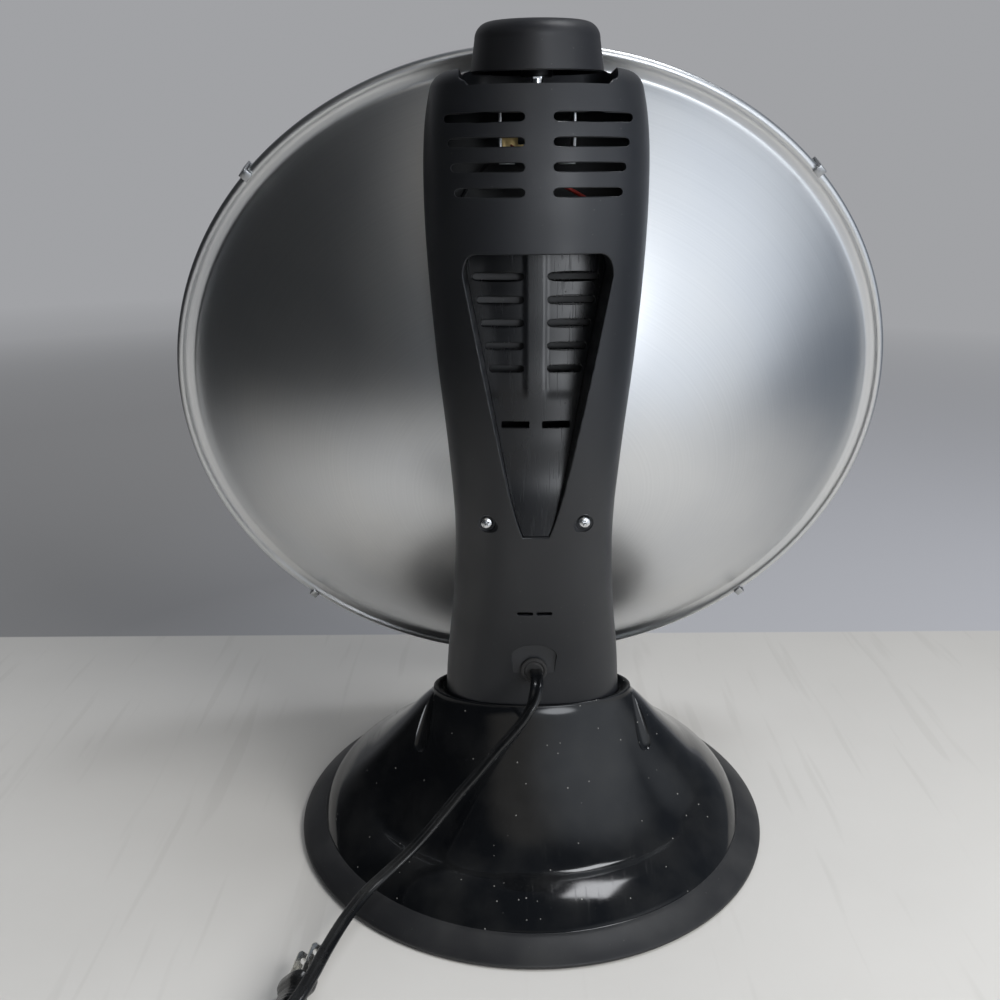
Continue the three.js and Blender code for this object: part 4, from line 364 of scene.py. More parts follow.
GLOSS = gloss_black("black_gloss_moulding")
PANEL_GLOSS = gloss_black("recess_panel_gloss", (0.006, 0.0065, 0.008), 0.2, 0.22)
SKIRT = matte_black("skirt_matte", (0.011, 0.0115, 0.013), 0.46, 1300.0, 0.5)
COLUMN = matte_black("column_matte", (0.0095, 0.0105, 0.013), 0.40)
KNOB = matte_black("knob_matte", (0.009, 0.0095, 0.0115), 0.44, 1700.0, 0.3)
INNER_BLACK = matte_black("inner_black", (0.010, 0.010, 0.012), 0.6)
DISH = spun_aluminium("spun_aluminium")
STEEL = bare_metal("zinc_steel", (0.56, 0.57, 0.58), 0.34)
CHROME = bare_metal("bright_steel", (0.74, 0.75, 0.76), 0.18, 600.0, 0.15)
BRASS = bare_metal("contact_brass", (0.66, 0.49, 0.22), 0.32)
BLADE_METAL = bare_metal("nickel_blades", (0.80, 0.79, 0.74), 0.22, 500.0, 0.3)
CERAMIC = ceramic("unglazed_ceramic")
HEATING_WIRE = heating_wire("oxidised_wire")
RUBBER = rubber("foot_rubber")
CORD = cord_vinyl("cord_vinyl")
LEAD_WHITE = wire_insulation("white_insulation", (0.70, 0.69, 0.64))
LEAD_RED = wire_insulation("red_insulation", (0.38, 0.035, 0.025))


# ------------------------------------------------------------------ mesh helpers

def make_piece(name, points, faces, materials, smooth=True):
    """A mesh object from points in millimetres."""
    mesh = bpy.data.meshes.new(name)
    mesh.from_pydata([tuple(c * MM for c in p) for p in points], [], faces)
    mesh.validate()
    for material in materials:
        mesh.materials.append(material)
    if smooth:
        mesh.shade_smooth()
    piece = bpy.data.objects.new(name, mesh)
    bpy.context.collection.objects.link(piece)
    return piece


def ring_faces(ring_count, side_count, closed_ends=True, looped=False):
    """Quads between rings of equal length, with a face over each end."""
    faces = []
    last = ring_count if looped else ring_count - 1
    for ring in range(last):
        low, high = ring * side_count, (ring + 1) % ring_count * side_count
        for side in range(side_count):
            following = (side + 1) % side_count
            faces.append((low + side, low + following, high + following, high + side))
    if closed_ends and not looped:
        faces.append(tuple(reversed(range(side_count))))
        top = (ring_count - 1) * side_count
        faces.append(tuple(range(top, top + side_count)))
    return faces


def loft_piece(name, rings, materials, closed_ends=True, looped=False):
    side_count = len(rings[0])
    points = [p for ring in rings for p in ring]
    return make_piece(name, points, ring_faces(len(rings), side_count, closed_ends, looped), materials)


def lathe_rings(profile, sides, place=lambda p: p):
    """Rings of a profile of (radius, height) pairs turned about the local Z axis."""
    rings = []
    for radius, height in profile:
        ring = []
        for side in range(sides):
            angle = TAU * side / sides
            ring.append(place((radius * math.cos(angle), radius * math.sin(angle), height)))
        rings.append(ring)
    return rings


def lathe_piece(name, profile, sides, materials, place=lambda p: p, looped=False):
    return loft_piece(name, lathe_rings(profile, sides, place), materials, not looped, looped)


def copy_of(piece):
    """A second piece with its own mesh."""
    twin = piece.copy()
    twin.data = piece.data.copy()
    return twin


def discard(piece):
    bpy.data.objects.remove(piece, do_unlink=True)


def mark_sharp(piece, degrees=35.0):
    piece.data.set_sharp_from_angle(angle=math.radians(degrees))
    return piece


def cleaned(piece, merge=0.00002):
    """Merges doubles and turns every face outwards."""
    bm = bmesh.new()
    bm.from_mesh(piece.data)
    bmesh.ops.remove_doubles(bm, verts=bm.verts, dist=merge)
    bmesh.ops.recalc_face_normals(bm, faces=bm.faces)
    bm.to_mesh(piece.data)
    bm.free()
    return piece


def apply_modifiers(piece):
    """Puts the result of a piece's modifiers in its own mesh."""
    graph = bpy.context.evaluated_depsgraph_get()
    mesh = bpy.data.meshes.new_from_object(piece.evaluated_get(graph))
    piece.modifiers.clear()
    piece.data = mesh
    return piece


def cut(piece, cutter, operation="DIFFERENCE"):
    """Joins a solid to a piece or cuts it away, and removes the solid."""
    modifier = piece.modifiers.new("cut", "BOOLEAN")
    modifier.operation = operation
    modifier.solver = "EXACT"
    modifier.object = cutter
    apply_modifiers(piece)
    discard(cutter)
    return piece


def joined(name, pieces):
    """Several separate solids as one object."""
    points, faces = [], []
    for piece in pieces:
        start = len(points)
        points.extend(tuple(c / MM for c in v.co) for v in piece.data.vertices)
        faces.extend(tuple(start + i for i in polygon.vertices) for polygon in piece.data.polygons)
        discard(piece)
    return make_piece(name, points, faces, [], False)


def prism_y(name, outline, y_low, y_high):
    """An outline in the X-Z plane between two depths."""
    count = len(outline)
    points = [(x, y_low, z) for x, z in outline] + [(x, y_high, z) for x, z in outline]
    faces = [(i, (i + 1) % count, count + (i + 1) % count, count + i) for i in range(count)]
    faces.append(tuple(reversed(range(count))))
    faces.append(tuple(range(count, 2 * count)))
    return cleaned(make_piece(name, points, faces, [], False), 0)


def post(name, radius, start, end, sides=32):
    """A cylinder between two points."""
    start, end = Vector(start), Vector(end)
    turn = (end - start).to_track_quat("Z", "Y")
    rings = []
    for centre in (start, end):
        rings.append([
            tuple(centre + turn @ Vector((radius * math.cos(TAU * s / sides),
                                          radius * math.sin(TAU * s / sides), 0)))
            for s in range(sides)
        ])
    return cleaned(loft_piece(name, rings, []), 0)


def box_solid(name, low, high):
    x0, y0, z0 = low
    x1, y1, z1 = high
    rings = [[(x0, y0, z), (x1, y0, z), (x1, y1, z), (x0, y1, z)] for z in (z0, z1)]
    return cleaned(loft_piece(name, rings, []), 0)


def smooth_line(stations):
    """A smooth curve through (position, value) stations, the same as the solids use."""
    def slope(i):
        before, after = stations[max(i - 1, 0)], stations[min(i + 1, len(stations) - 1)]
        return (after[1] - before[1]) / (after[0] - before[0])

    def at(position):
        i = 0
        while i < len(stations) - 2 and position > stations[i + 1][0]:
            i += 1
        (start, low), (end, high) = stations[i], stations[i + 1]
        span = end - start
        t = min(1.05, max(-0.05, (position - start) / span))
        bend = (t**3 - 2 * t**2 + t) * slope(i) + (t**3 - t**2) * slope(i + 1)
        return (2 * t**3 - 3 * t**2 + 1) * low + (3 * t**2 - 2 * t**3) * high + bend * span

    return at


def smooth_path(points, count):
    """Evenly spaced points on a smooth curve through given ones."""
    points = [np.array(p, dtype=float) for p in points]
    ends = [2 * points[0] - points[1], *points, 2 * points[-1] - points[-2]]
    dense = []
    for i in range(len(points) - 1):
        p0, p1, p2, p3 = ends[i:i + 4]
        knots = [0.0]
        for a, b in ((p0, p1), (p1, p2), (p2, p3)):
            knots.append(knots[-1] + max(np.linalg.norm(b - a), 1e-6) ** 0.5)
        for step in range(24):
            t = knots[1] + (knots[2] - knots[1]) * step / 24

            def between(low, high, first, second):
                """A mix of two points by where t lies between two knots."""
                gap = knots[high] - knots[low]
                return (knots[high] - t) / gap * first + (t - knots[low]) / gap * second

            a1, a2, a3 = between(0, 1, p0, p1), between(1, 2, p1, p2), between(2, 3, p2, p3)
            dense.append(between(1, 2, between(0, 2, a1, a2), between(1, 3, a2, a3)))
    dense.append(points[-1])
    dense = np.array(dense)
    along = np.concatenate([[0], np.cumsum(np.linalg.norm(np.diff(dense, axis=0), axis=1))])
    wanted = np.linspace(0, along[-1], count)
    return np.stack([np.interp(wanted, along, dense[:, axis]) for axis in range(3)], axis=1)


def carry_normals(piece, form, tolerance=0.00008):
    """Where a cut piece still follows the smooth form, it takes the form's own normals."""
    mesh = piece.data
    mesh.set_sharp_from_angle(angle=math.radians(32))
    normals = [Vector(n.vector) for n in mesh.corner_normals]
    source = form.data
    tree = BVHTree.FromPolygons([v.co.copy() for v in source.vertices],
                                [tuple(p.vertices) for p in source.polygons])
    point_normals = [Vector(n.vector) for n in source.vertex_normals]
    for polygon in mesh.polygons:
        place, normal, index, distance = tree.find_nearest(polygon.center)
        if index is None or distance > tolerance * 4 or normal.dot(polygon.normal) < 0.9:
            continue
        for loop in polygon.loop_indices:
            corner = mesh.vertices[mesh.loops[loop].vertex_index].co
            place, normal, index, distance = tree.find_nearest(corner)
            if index is None or distance > tolerance * 4:
                continue
            total = Vector((0, 0, 0))
            for vertex in source.polygons[index].vertices:
                gap = (source.vertices[vertex].co - corner).length + 1e-7
                total += point_normals[vertex] / gap**2
            normals[loop] = total.normalized()
    mesh.normals_split_custom_set([tuple(n) for n in normals])
    return piece


# ------------------------------------------------------------------ cord and its coil

COIL_X, COIL_Y, COIL_INNER, COIL_TURNS = 175.0, 246.0, 26.2, 2.875
TURN_PITCH = CORD_WIDTH + 0.65
COIL_OUTER = COIL_INNER + TURN_PITCH * COIL_TURNS
COIL_LOW = 1.0 + CORD_THICKNESS / 2
COIL_HIGH = COIL_LOW + CORD_THICKNESS + 0.6
RELIEF_Z = FOOT_Z + 29
PLUG_FACE = Vector((115.7, 161.5, 13.4))
PLUG_FACING = Vector((-0.22, -0.94, 0.26)).normalized()
PLUG_LENGTH = 27.0


def height_at(share):
    return FOOT_Z + share * COLUMN_HEIGHT


column_rear = smooth_line([
    (height_at(0), FOOT_Y + 24), (height_at(0.09), FOOT_Y + 31), (height_at(0.2), FOOT_Y + 42),
    (height_at(0.365), FOOT_Y + 58), (height_at(0.5), FOOT_Y + 70), (height_at(0.62), FOOT_Y + 76.5),
    (height_at(0.78), FOOT_Y + 79.5), (height_at(0.9), FOOT_Y + 79), (height_at(1), FOOT_Y + 74.5),
])
RELIEF_FACE = column_rear(RELIEF_Z) - 0.8


def cord_route():
    """The cord's centre line: out of the bushing, down the bell, over the plug, and into the coil."""
    start = RELIEF_FACE + 2.4 + 0.3
    lead = [
        (-1.2, start, RELIEF_Z), (-1.3, start + 7, RELIEF_Z), (-1.1, 72, 121.6), (1, 76.3, 115),
        (5.4, 78, 107),
        (11.8, 79, 98.6), (19, 79.6, 90), (29.3, 80.5, 77), (40.2, 82.5, 64.5), (49, 85, 54), (58, 88.5, 44),
        (68.5, 93, 34.2), (79, 99, 27), (89.5, 111, 23.4), (97.5, 130, 23), (103.5, 153, 24.2),
        (107.6, 172, 25), (111.6, 184, 24.2), (119, 192.4, 21), (130, 196.8, 13.6),
        (142, COIL_Y - COIL_OUTER, 7.2), (154, COIL_Y - COIL_OUTER, 4.1),
        (COIL_X - 7.3, COIL_Y - COIL_OUTER, COIL_LOW), (COIL_X - 0.3, COIL_Y - COIL_OUTER, COIL_LOW),
    ]
    lead = smooth_path(lead, 260)
    coil = []
    steps = int(2 * COIL_TURNS * 48)
    for step in range(steps + 1):
        turn = -COIL_TURNS + 2 * COIL_TURNS * step / steps
        t = min(1.0, max(0.0, (turn + 0.25) / 0.5))
        climb = t * t * (3 - 2 * t)
        angle = (turn + COIL_TURNS - 0.25) * TAU
        radius = COIL_INNER + TURN_PITCH * abs(turn)
        height = COIL_LOW + (COIL_HIGH - COIL_LOW) * climb
        coil.append((COIL_X + radius * math.cos(angle), COIL_Y + radius * math.sin(angle), height))
    exit_x = COIL_X - COIL_OUTER
    behind = [PLUG_FACE - PLUG_FACING * (PLUG_LENGTH + d) for d in (CORD_WIDTH + 5, CORD_WIDTH, 0.3)]
    tail = smooth_path([
        (exit_x, COIL_Y - 0.3, COIL_HIGH), (exit_x, COIL_Y - 7.3, COIL_HIGH - 0.05),
        (exit_x - 0.4, COIL_Y - 20, 5.6),
        (exit_x - 1, COIL_Y - 32, 3.4), *[tuple(b) for b in behind],
    ], 60)
    return [tuple(p) for p in lead], coil, [tuple(p) for p in tail]


def twin_section():
    """A figure-of-eight section: two round cores side by side with a groove between."""
    core = CORD_THICKNESS / 2
    shift = CORD_WIDTH / 2 - core
    right = [(shift + core * math.cos(a), core * math.sin(a)) for a in np.linspace(-2.25, 2.25, 11)]
    left = [(-x, -y) for x, y in right]
    return right + left


def cord_piece():
    lead, coil, tail = cord_route()
    route = lead + coil[1:-1] + tail
    centres = [Vector(p) for p in route]
    section = twin_section()
    rings = []
    for i, centre in enumerate(centres):
        along = (centres[min(i + 1, len(centres) - 1)] - centres[max(i - 1, 0)]).normalized()
        across = along.cross(Vector((0, 0, 1))).normalized()
        normal = across.cross(along)
        rings.append([tuple(centre + across * x + normal * y) for x, y in section])
    piece = loft_piece("mains_cord", rings, [CORD])
    cleaned(piece, 0)
    mark_sharp(piece, 60)
    return piece, route


cord, route = cord_piece()
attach(cord, "heater")
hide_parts("cord_lead", "cord_coil", "cord_tail")
cord_length = sum((Vector(a) - Vector(b)).length for a, b in zip(route, route[1:])) * MM

# ------------------------------------------------------------------ floor, backdrop and lights

ROOM_TONE = (0.355, 0.36, 0.375)


def add_stage():
    """A pale table top that turns into the wall's tone behind the heater, and fades out far away. Painted
    shade darkens the table towards the back and the wall towards positive X, and a painted shadow of the
    heater lies on the wall.
    """
    floor = make_piece("pale_floor",
                       [(-30000, -30000, 0), (30000, -30000, 0), (30000, 30000, 0), (-30000, 30000, 0)],
                       [(0, 1, 2, 3)], [])
    f = Finish("floor_and_wall")
    place = f.split(f.place())
    beyond = f.curve(place["Y"], -0.2515, -0.2535)
    # painted shade on the wall part: lighter towards negative X, the side the window lamp is on, and darker
    # towards positive X
    side = f.curve(place["X"], -0.5, 0.45)
    wall = f.ramp(side, [(0.0, (0.42, 0.43, 0.465)), (0.55, (0.40, 0.41, 0.44)), (1.0, (0.37, 0.375, 0.385))])
    table = f.ramp(f.noise(3.0, 5.0), [(0.3, (0.63, 0.625, 0.61)), (0.7, (0.69, 0.685, 0.67))])
    marks = f.group(SCRATCHES, Amount=0.5, Scale=5.0)["Mask"]
    table = f.mix(f.math("MULTIPLY", marks, 0.25), table, (0.40, 0.39, 0.37))
    tone = f.mix(beyond, table, wall)
    away = f.distance_from_axis(place)
    rays = f.add("ShaderNodeLightPath").outputs
    edge = f.math("MULTIPLY", rays["Is Glossy Ray"], f.curve(away, 0.30, 0.80))
    # painted shade on the table: darker towards the back where it meets the wall, mixed up to 27 % towards
    # near black
    shaded = f.curve(place["Y"], -0.25, 0.2, 0.27, 0.0)
    tone = f.mix(f.math("MULTIPLY", shaded, f.math("SUBTRACT", 1.0, beyond)), tone, (0.05, 0.05, 0.05))
    # painted shadow of the heater on the wall part: a dark patch towards positive X, from about a quarter
    # metre to 3 m out, darkening both the colour and the glow
    bearing = f.math("DIVIDE", place["X"], away)
    nearby = f.math("MULTIPLY", f.curve(away, 0.22, 0.45), f.curve(away, 3.2, 1.3))
    painted_wall_shadow = f.math("MULTIPLY", f.math("MULTIPLY", f.curve(bearing, 0.1, 0.36), nearby),
                   f.curve(beyond, 0.0, 1.0, 0.0, 0.42))
    distant = f.math("MULTIPLY", rays["Is Camera Ray"], f.curve(away, 0.7, 2.4))
    tone = f.mix(painted_wall_shadow, tone, (0.04, 0.04, 0.042))
    tone = f.mix(distant, tone, (0.0, 0.0, 0.0))
    glow = f.mix(distant, (0.0, 0.0, 0.0), ROOM_TONE)
    glow = f.mix(painted_wall_shadow, glow, (0.04, 0.04, 0.042))
    rough = f.curve(beyond, 0.0, 1.0, 0.45, 0.95)
    solid = f.math("SUBTRACT", 1.0, edge)
    f.set(Base_Color=tone, Roughness=rough, Alpha=solid, Emission_Color=glow, Emission_Strength=1.0)
    floor.data.materials.append(f.set(Specular_IOR_Level=0.0))


def add_light(name, place, aim, power, size, colour):
    """A rectangular lamp that faces a point."""
    data = bpy.data.lights.new(name, "AREA")
    data.energy = power
    data.color = colour
    data.shape = "RECTANGLE"
    data.size, data.size_y = size
    lamp = bpy.data.objects.new(name, data)
    lamp.location = place
    lamp.rotation_euler = (Vector(aim) - Vector(place)).to_track_quat("-Z", "Y").to_euler()
    bpy.context.collection.objects.link(lamp)
    return lamp


def add_world():
    """A soft room: a plain tone behind, and for reflections a dark left side and a window on the right."""
    world = bpy.data.worlds.new("soft_room")
    bpy.context.scene.world = world
    world.use_nodes = True
    n = Nodes(world.node_tree)
    background = n.nodes["Background"]
    background.inputs["Strength"].default_value = 1.0
    place = n.add("ShaderNodeTexCoord").outputs["Generated"]

    def toward(direction, low, high):
        """How near the view is to a direction, from 0 to 1 with soft ends."""
        dot = n.add("ShaderNodeVectorMath", operation="DOT_PRODUCT")
        dot.inputs[1].default_value = Vector(direction).normalized()
        n.feed(dot.inputs[0], place)
        spread = n.curve(dot.outputs["Value"], low, high)
        spread.node.interpolation_type = "SMOOTHSTEP"
        return spread

    seen = n.mix(toward((1.0, 0.2, 0.0), -0.9, 1.0), (0.13, 0.15, 0.18), (0.02, 0.021, 0.022))
    seen = n.mix(toward((0.0, -1.0, 0.35), 0.3, 1.0), seen, (0.24, 0.245, 0.26))
    seen = n.mix(toward((0.06, 0.9, 0.45), 0.90, 0.985), seen, (0.36, 0.345, 0.32))
    seen = n.mix(toward((-0.64, 0.75, 0.08), 0.62, 0.98), seen, WINDOW_TONE)
    seen = n.mix(toward((-0.27, 0.96, 0.05), 0.976, 0.994), seen, PANE_TONE)
    rays = n.add("ShaderNodeLightPath").outputs
    lit = n.mix(rays["Is Glossy Ray"], AMBIENT_TONE, seen)
    n.feed(background.inputs["Color"], n.mix(rays["Is Camera Ray"], lit, ROOM_TONE))


WINDOW_TONE = (0.96, 1.02, 1.1)
PANE_TONE = (5.6, 5.8, 6.1)
AMBIENT_TONE = (0.25, 0.255, 0.265)

add_stage()
add_world()
window = add_light("window_right", (-1.15, 1.0, 1.15), (0.0, 0.0, 0.2), 30.0, (0.9, 0.9), (1.0, 0.985, 0.96))
fill = add_light("front_fill", (0.7, -1.3, 1.0), (0.0, 0.0, 0.2), 4.0, (1.0, 0.8), (1.0, 0.98, 0.95))
window.visible_glossy = fill.visible_glossy = False
add_light("ceiling_panel", (-0.57, 0.12, 1.75), (0.0, 0.0, 0.1), 8.0, (0.46, 0.5), (0.95, 0.97, 1.0))


# ------------------------------------------------------------------ base

neck_line = smooth_line([
    (0, COLLAR_TOP - 3), (0.12, 81), (0.28, 58.5), (0.46, 39), (0.62, 27.5), (0.71, 24.8), (0.8, 21.8),
    (0.9, 17.3), (1, SKIRT_TOP),
])
shoulder_line = smooth_line([
    (0, COLLAR_TOP - 3), (0.12, 87), (0.3, 71), (0.55, 51), (0.74, 38), (0.88, 27), (0.96, 18.5),
    (1, SKIRT_TOP),
])


def bell_point(share, angle, inset=0.0, drop=0.0):
    """A point of the bell at a share of the way from the collar to the skirt."""
    across, back = math.cos(angle), math.sin(angle)
    from_rear = abs(math.degrees(math.atan2(across, back)))
    t = min(1.0, max(0.0, (from_rear - 52) / (84 - 52)))
    shoulder = t * t * (3 - 2 * t)
    height = neck_line(share) * (1 - shoulder) + shoulder_line(share) * shoulder
    x = (COLLAR_X - inset) * across * (1 - share) + (BELL_RADIUS - inset) * across * share
    y = (FOOT_Y + (COLLAR_Y - inset) * back) * (1 - share) + (BELL_RADIUS - inset) * back * share
    return (x, y, height - drop)


def collar_point(angle, inset, height):
    x, y, _ = bell_point(0, angle, inset)
    return (x, y, height)


HALF_WIDTH = smooth_line([
    (height_at(0), 50), (height_at(0.09), 47.8), (height_at(0.2), 43.9), (height_at(0.335), 41.3),
    (height_at(0.47), 43.5), (height_at(0.62), 48), (height_at(0.77), 51.4), (height_at(0.87), 52),
    (height_at(0.94), 50.6), (height_at(1), 46.8),
])
column_middle = smooth_line([
    (height_at(0), FOOT_Y), (height_at(0.2), FOOT_Y + 12.5), (height_at(0.36), FOOT_Y + 24.5),
    (height_at(0.62), FOOT_Y + 35.5), (height_at(1), FOOT_Y + 35),
])
DISH_OUT = Vector((0, -math.cos(TILT), math.sin(TILT)))
DISH_UP = Vector((0, math.sin(TILT), math.cos(TILT)))


def bowl_rise(radius):
    return DISH_DEPTH * max(0.0, (radius**2 - DISH_FLAT**2) / (BOWL_RADIUS**2 - DISH_FLAT**2))


def bowl_back(radius):
    rise = bowl_rise(abs(radius))
    return (DISH_Z + DISH_OUT.z * rise + DISH_UP.z * radius, DISH_Y + DISH_OUT.y * rise + DISH_UP.y * radius)


column_front = smooth_line([
    (height_at(0), FOOT_Y - 24), (height_at(0.17), FOOT_Y - 8),
    *[(z, y + 3) for z, y in map(bowl_back, (-10, 22, 52, 82, 112, 150))],
    (COLUMN_TOP, bowl_back(BOWL_RADIUS * 0.96)[1] + 9),
])


def column_ring(z, inset, sides):
    ring = []
    half, middle = HALF_WIDTH(z) - inset, column_middle(z)
    rear, front = column_rear(z) - inset - middle, middle - column_front(z) - inset
    for side in range(sides):
        across, back = math.cos(TAU * side / sides), math.sin(TAU * side / sides)
        power = 2 / (REAR_POWER if back >= 0 else FRONT_POWER)
        reach = rear if back >= 0 else front
        x = half * math.copysign(abs(across) ** power, across)
        y = middle + reach * math.copysign(abs(back) ** power, back)
        ring.append((x, y, z))
    return ring


DROP_LOW, DROP_HIGH = (0.215, 27.0), (0.05, 15.0)


def teardrop_cutter(side):
    """The groove beside the collar: a drop that deepens towards its round lower end."""
    radius, length, depth = 7.0, 34.0, 1.9

    def on_bell(share, degrees):
        angle, step = math.radians(degrees), 0.004
        point = Vector(bell_point(share, angle))
        down = Vector(bell_point(share + step, angle)) - point
        round_it = Vector(bell_point(share, angle + step)) - point
        normal = down.cross(round_it).normalized()
        point.x *= side
        normal.x *= side
        return point, normal if normal.z > 0 else -normal

    profile = [(0.01, -radius)]
    profile += [(radius * math.cos(a), radius * math.sin(a)) for a in np.linspace(-1.4, 0, 10)]
    profile += [(radius * (1 - 0.8 * t**1.3) + 0.01, length * t) for t in np.linspace(0.06, 1, 12)]
    low, low_normal = on_bell(*DROP_LOW)
    high, high_normal = on_bell(*DROP_HIGH)
    foot = low + low_normal * (radius - depth)
    head = high + high_normal * (radius * 0.2 + 0.4)
    turn = (head - foot).to_track_quat("Z", "Y")
    place = lambda p: tuple(foot + turn @ Vector(p))
    return cleaned(lathe_piece("groove", profile, 28, [], place), 0)


def make_base():
    sides = 224
    angles = [TAU * s / sides for s in range(sides)]
    circle = lambda radius, z: [(radius * math.cos(a), radius * math.sin(a), z) for a in angles]
    rings = [
        circle(BASE_RADIUS - 0.5, BASE_LIFT), circle(BASE_RADIUS, BASE_LIFT + 0.4),
        circle(BASE_RADIUS, BASE_LIFT + 1.6),
        circle(BASE_RADIUS - 0.5, BASE_LIFT + 2.3), circle(BASE_RADIUS - 4, BASE_LIFT + 4.9),
        circle(BASE_RADIUS - 8, BASE_LIFT + 7.4), circle(BASE_RADIUS - 11.5, BASE_LIFT + 9.1),
        circle(BELL_RADIUS + 0.7, SKIRT_TOP - 0.45), circle(BELL_RADIUS + 0.25, SKIRT_TOP - 0.5),
    ]
    matte_rings = len(rings) - 1
    shares = [0.998, *np.linspace(0.98, 0.03, 44)]
    rings += [[bell_point(s, a) for a in angles] for s in shares]
    rings += [[collar_point(a, inset, z) for a in angles]
              for inset, z in ((0.0, 97.2), (0.0, 99.0), (0.25, 99.7), (0.8, 100.0), (1.6, 100.0))]
    seat = [seat_ring(z, sides) for z in (99.7, 99.0, SEAT_Z)]
    rings += seat
    rings += [[(x * 0.36, FOOT_Y + (y - FOOT_Y) * 0.36, SEAT_Z) for x, y, z in seat[-1]],
              [(x * 0.36, FOOT_Y + (y - FOOT_Y) * 0.36, SEAT_Z - 3) for x, y, z in seat[-1]]]
    rings += [[bell_point(s, a, 2.6, 2.9) for a in angles] for s in (0.03, 0.2, 0.4, 0.6, 0.8, 0.93)]
    rings += [circle(BELL_RADIUS + 2, SKIRT_TOP - 4.2), circle(BASE_RADIUS - 2.8, BASE_LIFT + 1.6),
              circle(BASE_RADIUS - 2.6, BASE_LIFT)]
    piece = loft_piece("bell_base", rings, [GLOSS, SKIRT], looped=True)
    for polygon in piece.data.polygons:
        ring = polygon.index // sides
        if ring < matte_rings or ring >= len(rings) - 2:
            polygon.material_index = 1
    cleaned(piece)
    form = copy_of(piece)
    cut(piece, joined("grooves", [teardrop_cutter(-1), teardrop_cutter(1)]))
    carry_normals(piece, form)
    discard(form)
    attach(piece, "heater")
    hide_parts("base_shell")


def seat_ring(z, sides):
    """The collar's opening at a height: the column's own section with a little room."""
    ring = []
    half, middle = HALF_WIDTH(z) + 0.45, column_middle(z)
    rear, front = column_rear(z) + 0.45 - middle, middle - column_front(z) + 0.45
    for side in range(sides):
        angle = TAU * side / sides
        across, back = math.cos(angle), math.sin(angle)
        power = REAR_POWER if back >= 0 else FRONT_POWER
        reach = rear if back >= 0 else front
        scale = (abs(across / half) ** power + abs(back / reach) ** power) ** (-1 / power)
        ring.append((across * scale, middle + back * scale, z))
    return ring


make_base()


# ------------------------------------------------------------------ places shared by the pieces

def to_matrix(origin, lean):
    return Matrix.Translation(origin) @ Matrix.Rotation(math.radians(lean), 4, "X")


DISH_PLACE = to_matrix((0, DISH_Y, DISH_Z), 90 - math.degrees(TILT))
KNOB_PLACE = to_matrix((0, 73.5, COLUMN_TOP - 5.5 + 3.4), -3)
RIM_HEIGHT = DISH_DEPTH + 1


def on_dish(p):
    return tuple(DISH_PLACE @ Vector(p))


def on_knob(p):
    return tuple(KNOB_PLACE @ Vector(p))


def rear_surface(x, z):
    """Where the rear face of the column lies at a distance from its middle plane."""
    middle = column_middle(z)
    share = max(0.0, 1 - (abs(x) / HALF_WIDTH(z)) ** REAR_POWER) ** (1 / REAR_POWER)
    return middle + (column_rear(z) - middle) * share


def finish_piece(piece, body, nodes, slot):
    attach(piece, body)
    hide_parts(*nodes)
    return piece


def from_solid(node, finish, body="heater", bevel=0.2, rounding=0):
    """A copy of a node's own solid with its coplanar facets joined and its edges eased."""
    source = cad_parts[node]
    mesh = source.data.copy()
    mesh.materials.clear()
    mesh.materials.append(finish)
    piece = bpy.data.objects.new(node + "_dressed", mesh)
    bpy.context.collection.objects.link(piece)
    bm = bmesh.new()
    bm.from_mesh(mesh)
    bmesh.ops.remove_doubles(bm, verts=bm.verts, dist=0.00001)
    if not rounding:
        bmesh.ops.dissolve_limit(bm, angle_limit=math.radians(1.5), verts=bm.verts, edges=bm.edges)
    bmesh.ops.recalc_face_normals(bm, faces=bm.faces)
    for face in bm.faces:
        face.material_index = 0
        face.smooth = True
    bm.to_mesh(mesh)
    bm.free()
    if rounding:
        modifier = piece.modifiers.new("round", "SUBSURF")
        modifier.levels = modifier.render_levels = rounding
        apply_modifiers(piece)
    elif bevel:
        modifier = piece.modifiers.new("edges", "BEVEL")
        modifier.width = bevel * MM
        modifier.segments = 2
        modifier.limit_method = "ANGLE"
        modifier.angle_limit = math.radians(40)
        apply_modifiers(piece)
        mark_sharp(piece, 50)
    return piece


def repeat_tree():
    """Puts one piece at each of a set of points, turned as each point says."""
    tree = bpy.data.node_groups.new("repeat_piece", "GeometryNodeTree")
    sockets = tree.interface
    sockets.new_socket(name="Places", in_out="INPUT", socket_type="NodeSocketGeometry")
    sockets.new_socket(name="Piece", in_out="INPUT", socket_type="NodeSocketObject")
    sockets.new_socket(name="Size", in_out="INPUT", socket_type="NodeSocketFloat").default_value = 1.0
    sockets.new_socket(name="Finish", in_out="INPUT", socket_type="NodeSocketMaterial")
    sockets.new_socket(name="Geometry", in_out="OUTPUT", socket_type="NodeSocketGeometry")
    nodes, links = tree.nodes, tree.links
    enter, leave = nodes.new("NodeGroupInput"), nodes.new("NodeGroupOutput")
    source = nodes.new("GeometryNodeObjectInfo")
    turn = nodes.new("GeometryNodeInputNamedAttribute")
    turn.data_type = "FLOAT_VECTOR"
    turn.inputs["Name"].default_value = "turn"
    rotation = nodes.new("FunctionNodeEulerToRotation")
    copies = nodes.new("GeometryNodeInstanceOnPoints")
    real = nodes.new("GeometryNodeRealizeInstances")
    paint = nodes.new("GeometryNodeSetMaterial")
    links.new(enter.outputs["Piece"], source.inputs["Object"])
    links.new(turn.outputs["Attribute"], rotation.inputs["Euler"])
    links.new(enter.outputs["Places"], copies.inputs["Points"])
    links.new(source.outputs["Geometry"], copies.inputs["Instance"])
    links.new(rotation.outputs["Rotation"], copies.inputs["Rotation"])
    links.new(enter.outputs["Size"], copies.inputs["Scale"])
    links.new(copies.outputs["Instances"], real.inputs["Geometry"])
    links.new(real.outputs["Geometry"], paint.inputs["Geometry"])
    links.new(enter.outputs["Finish"], paint.inputs["Material"])
    links.new(paint.outputs["Geometry"], leave.inputs["Geometry"])
    return tree


REPEAT = repeat_tree()


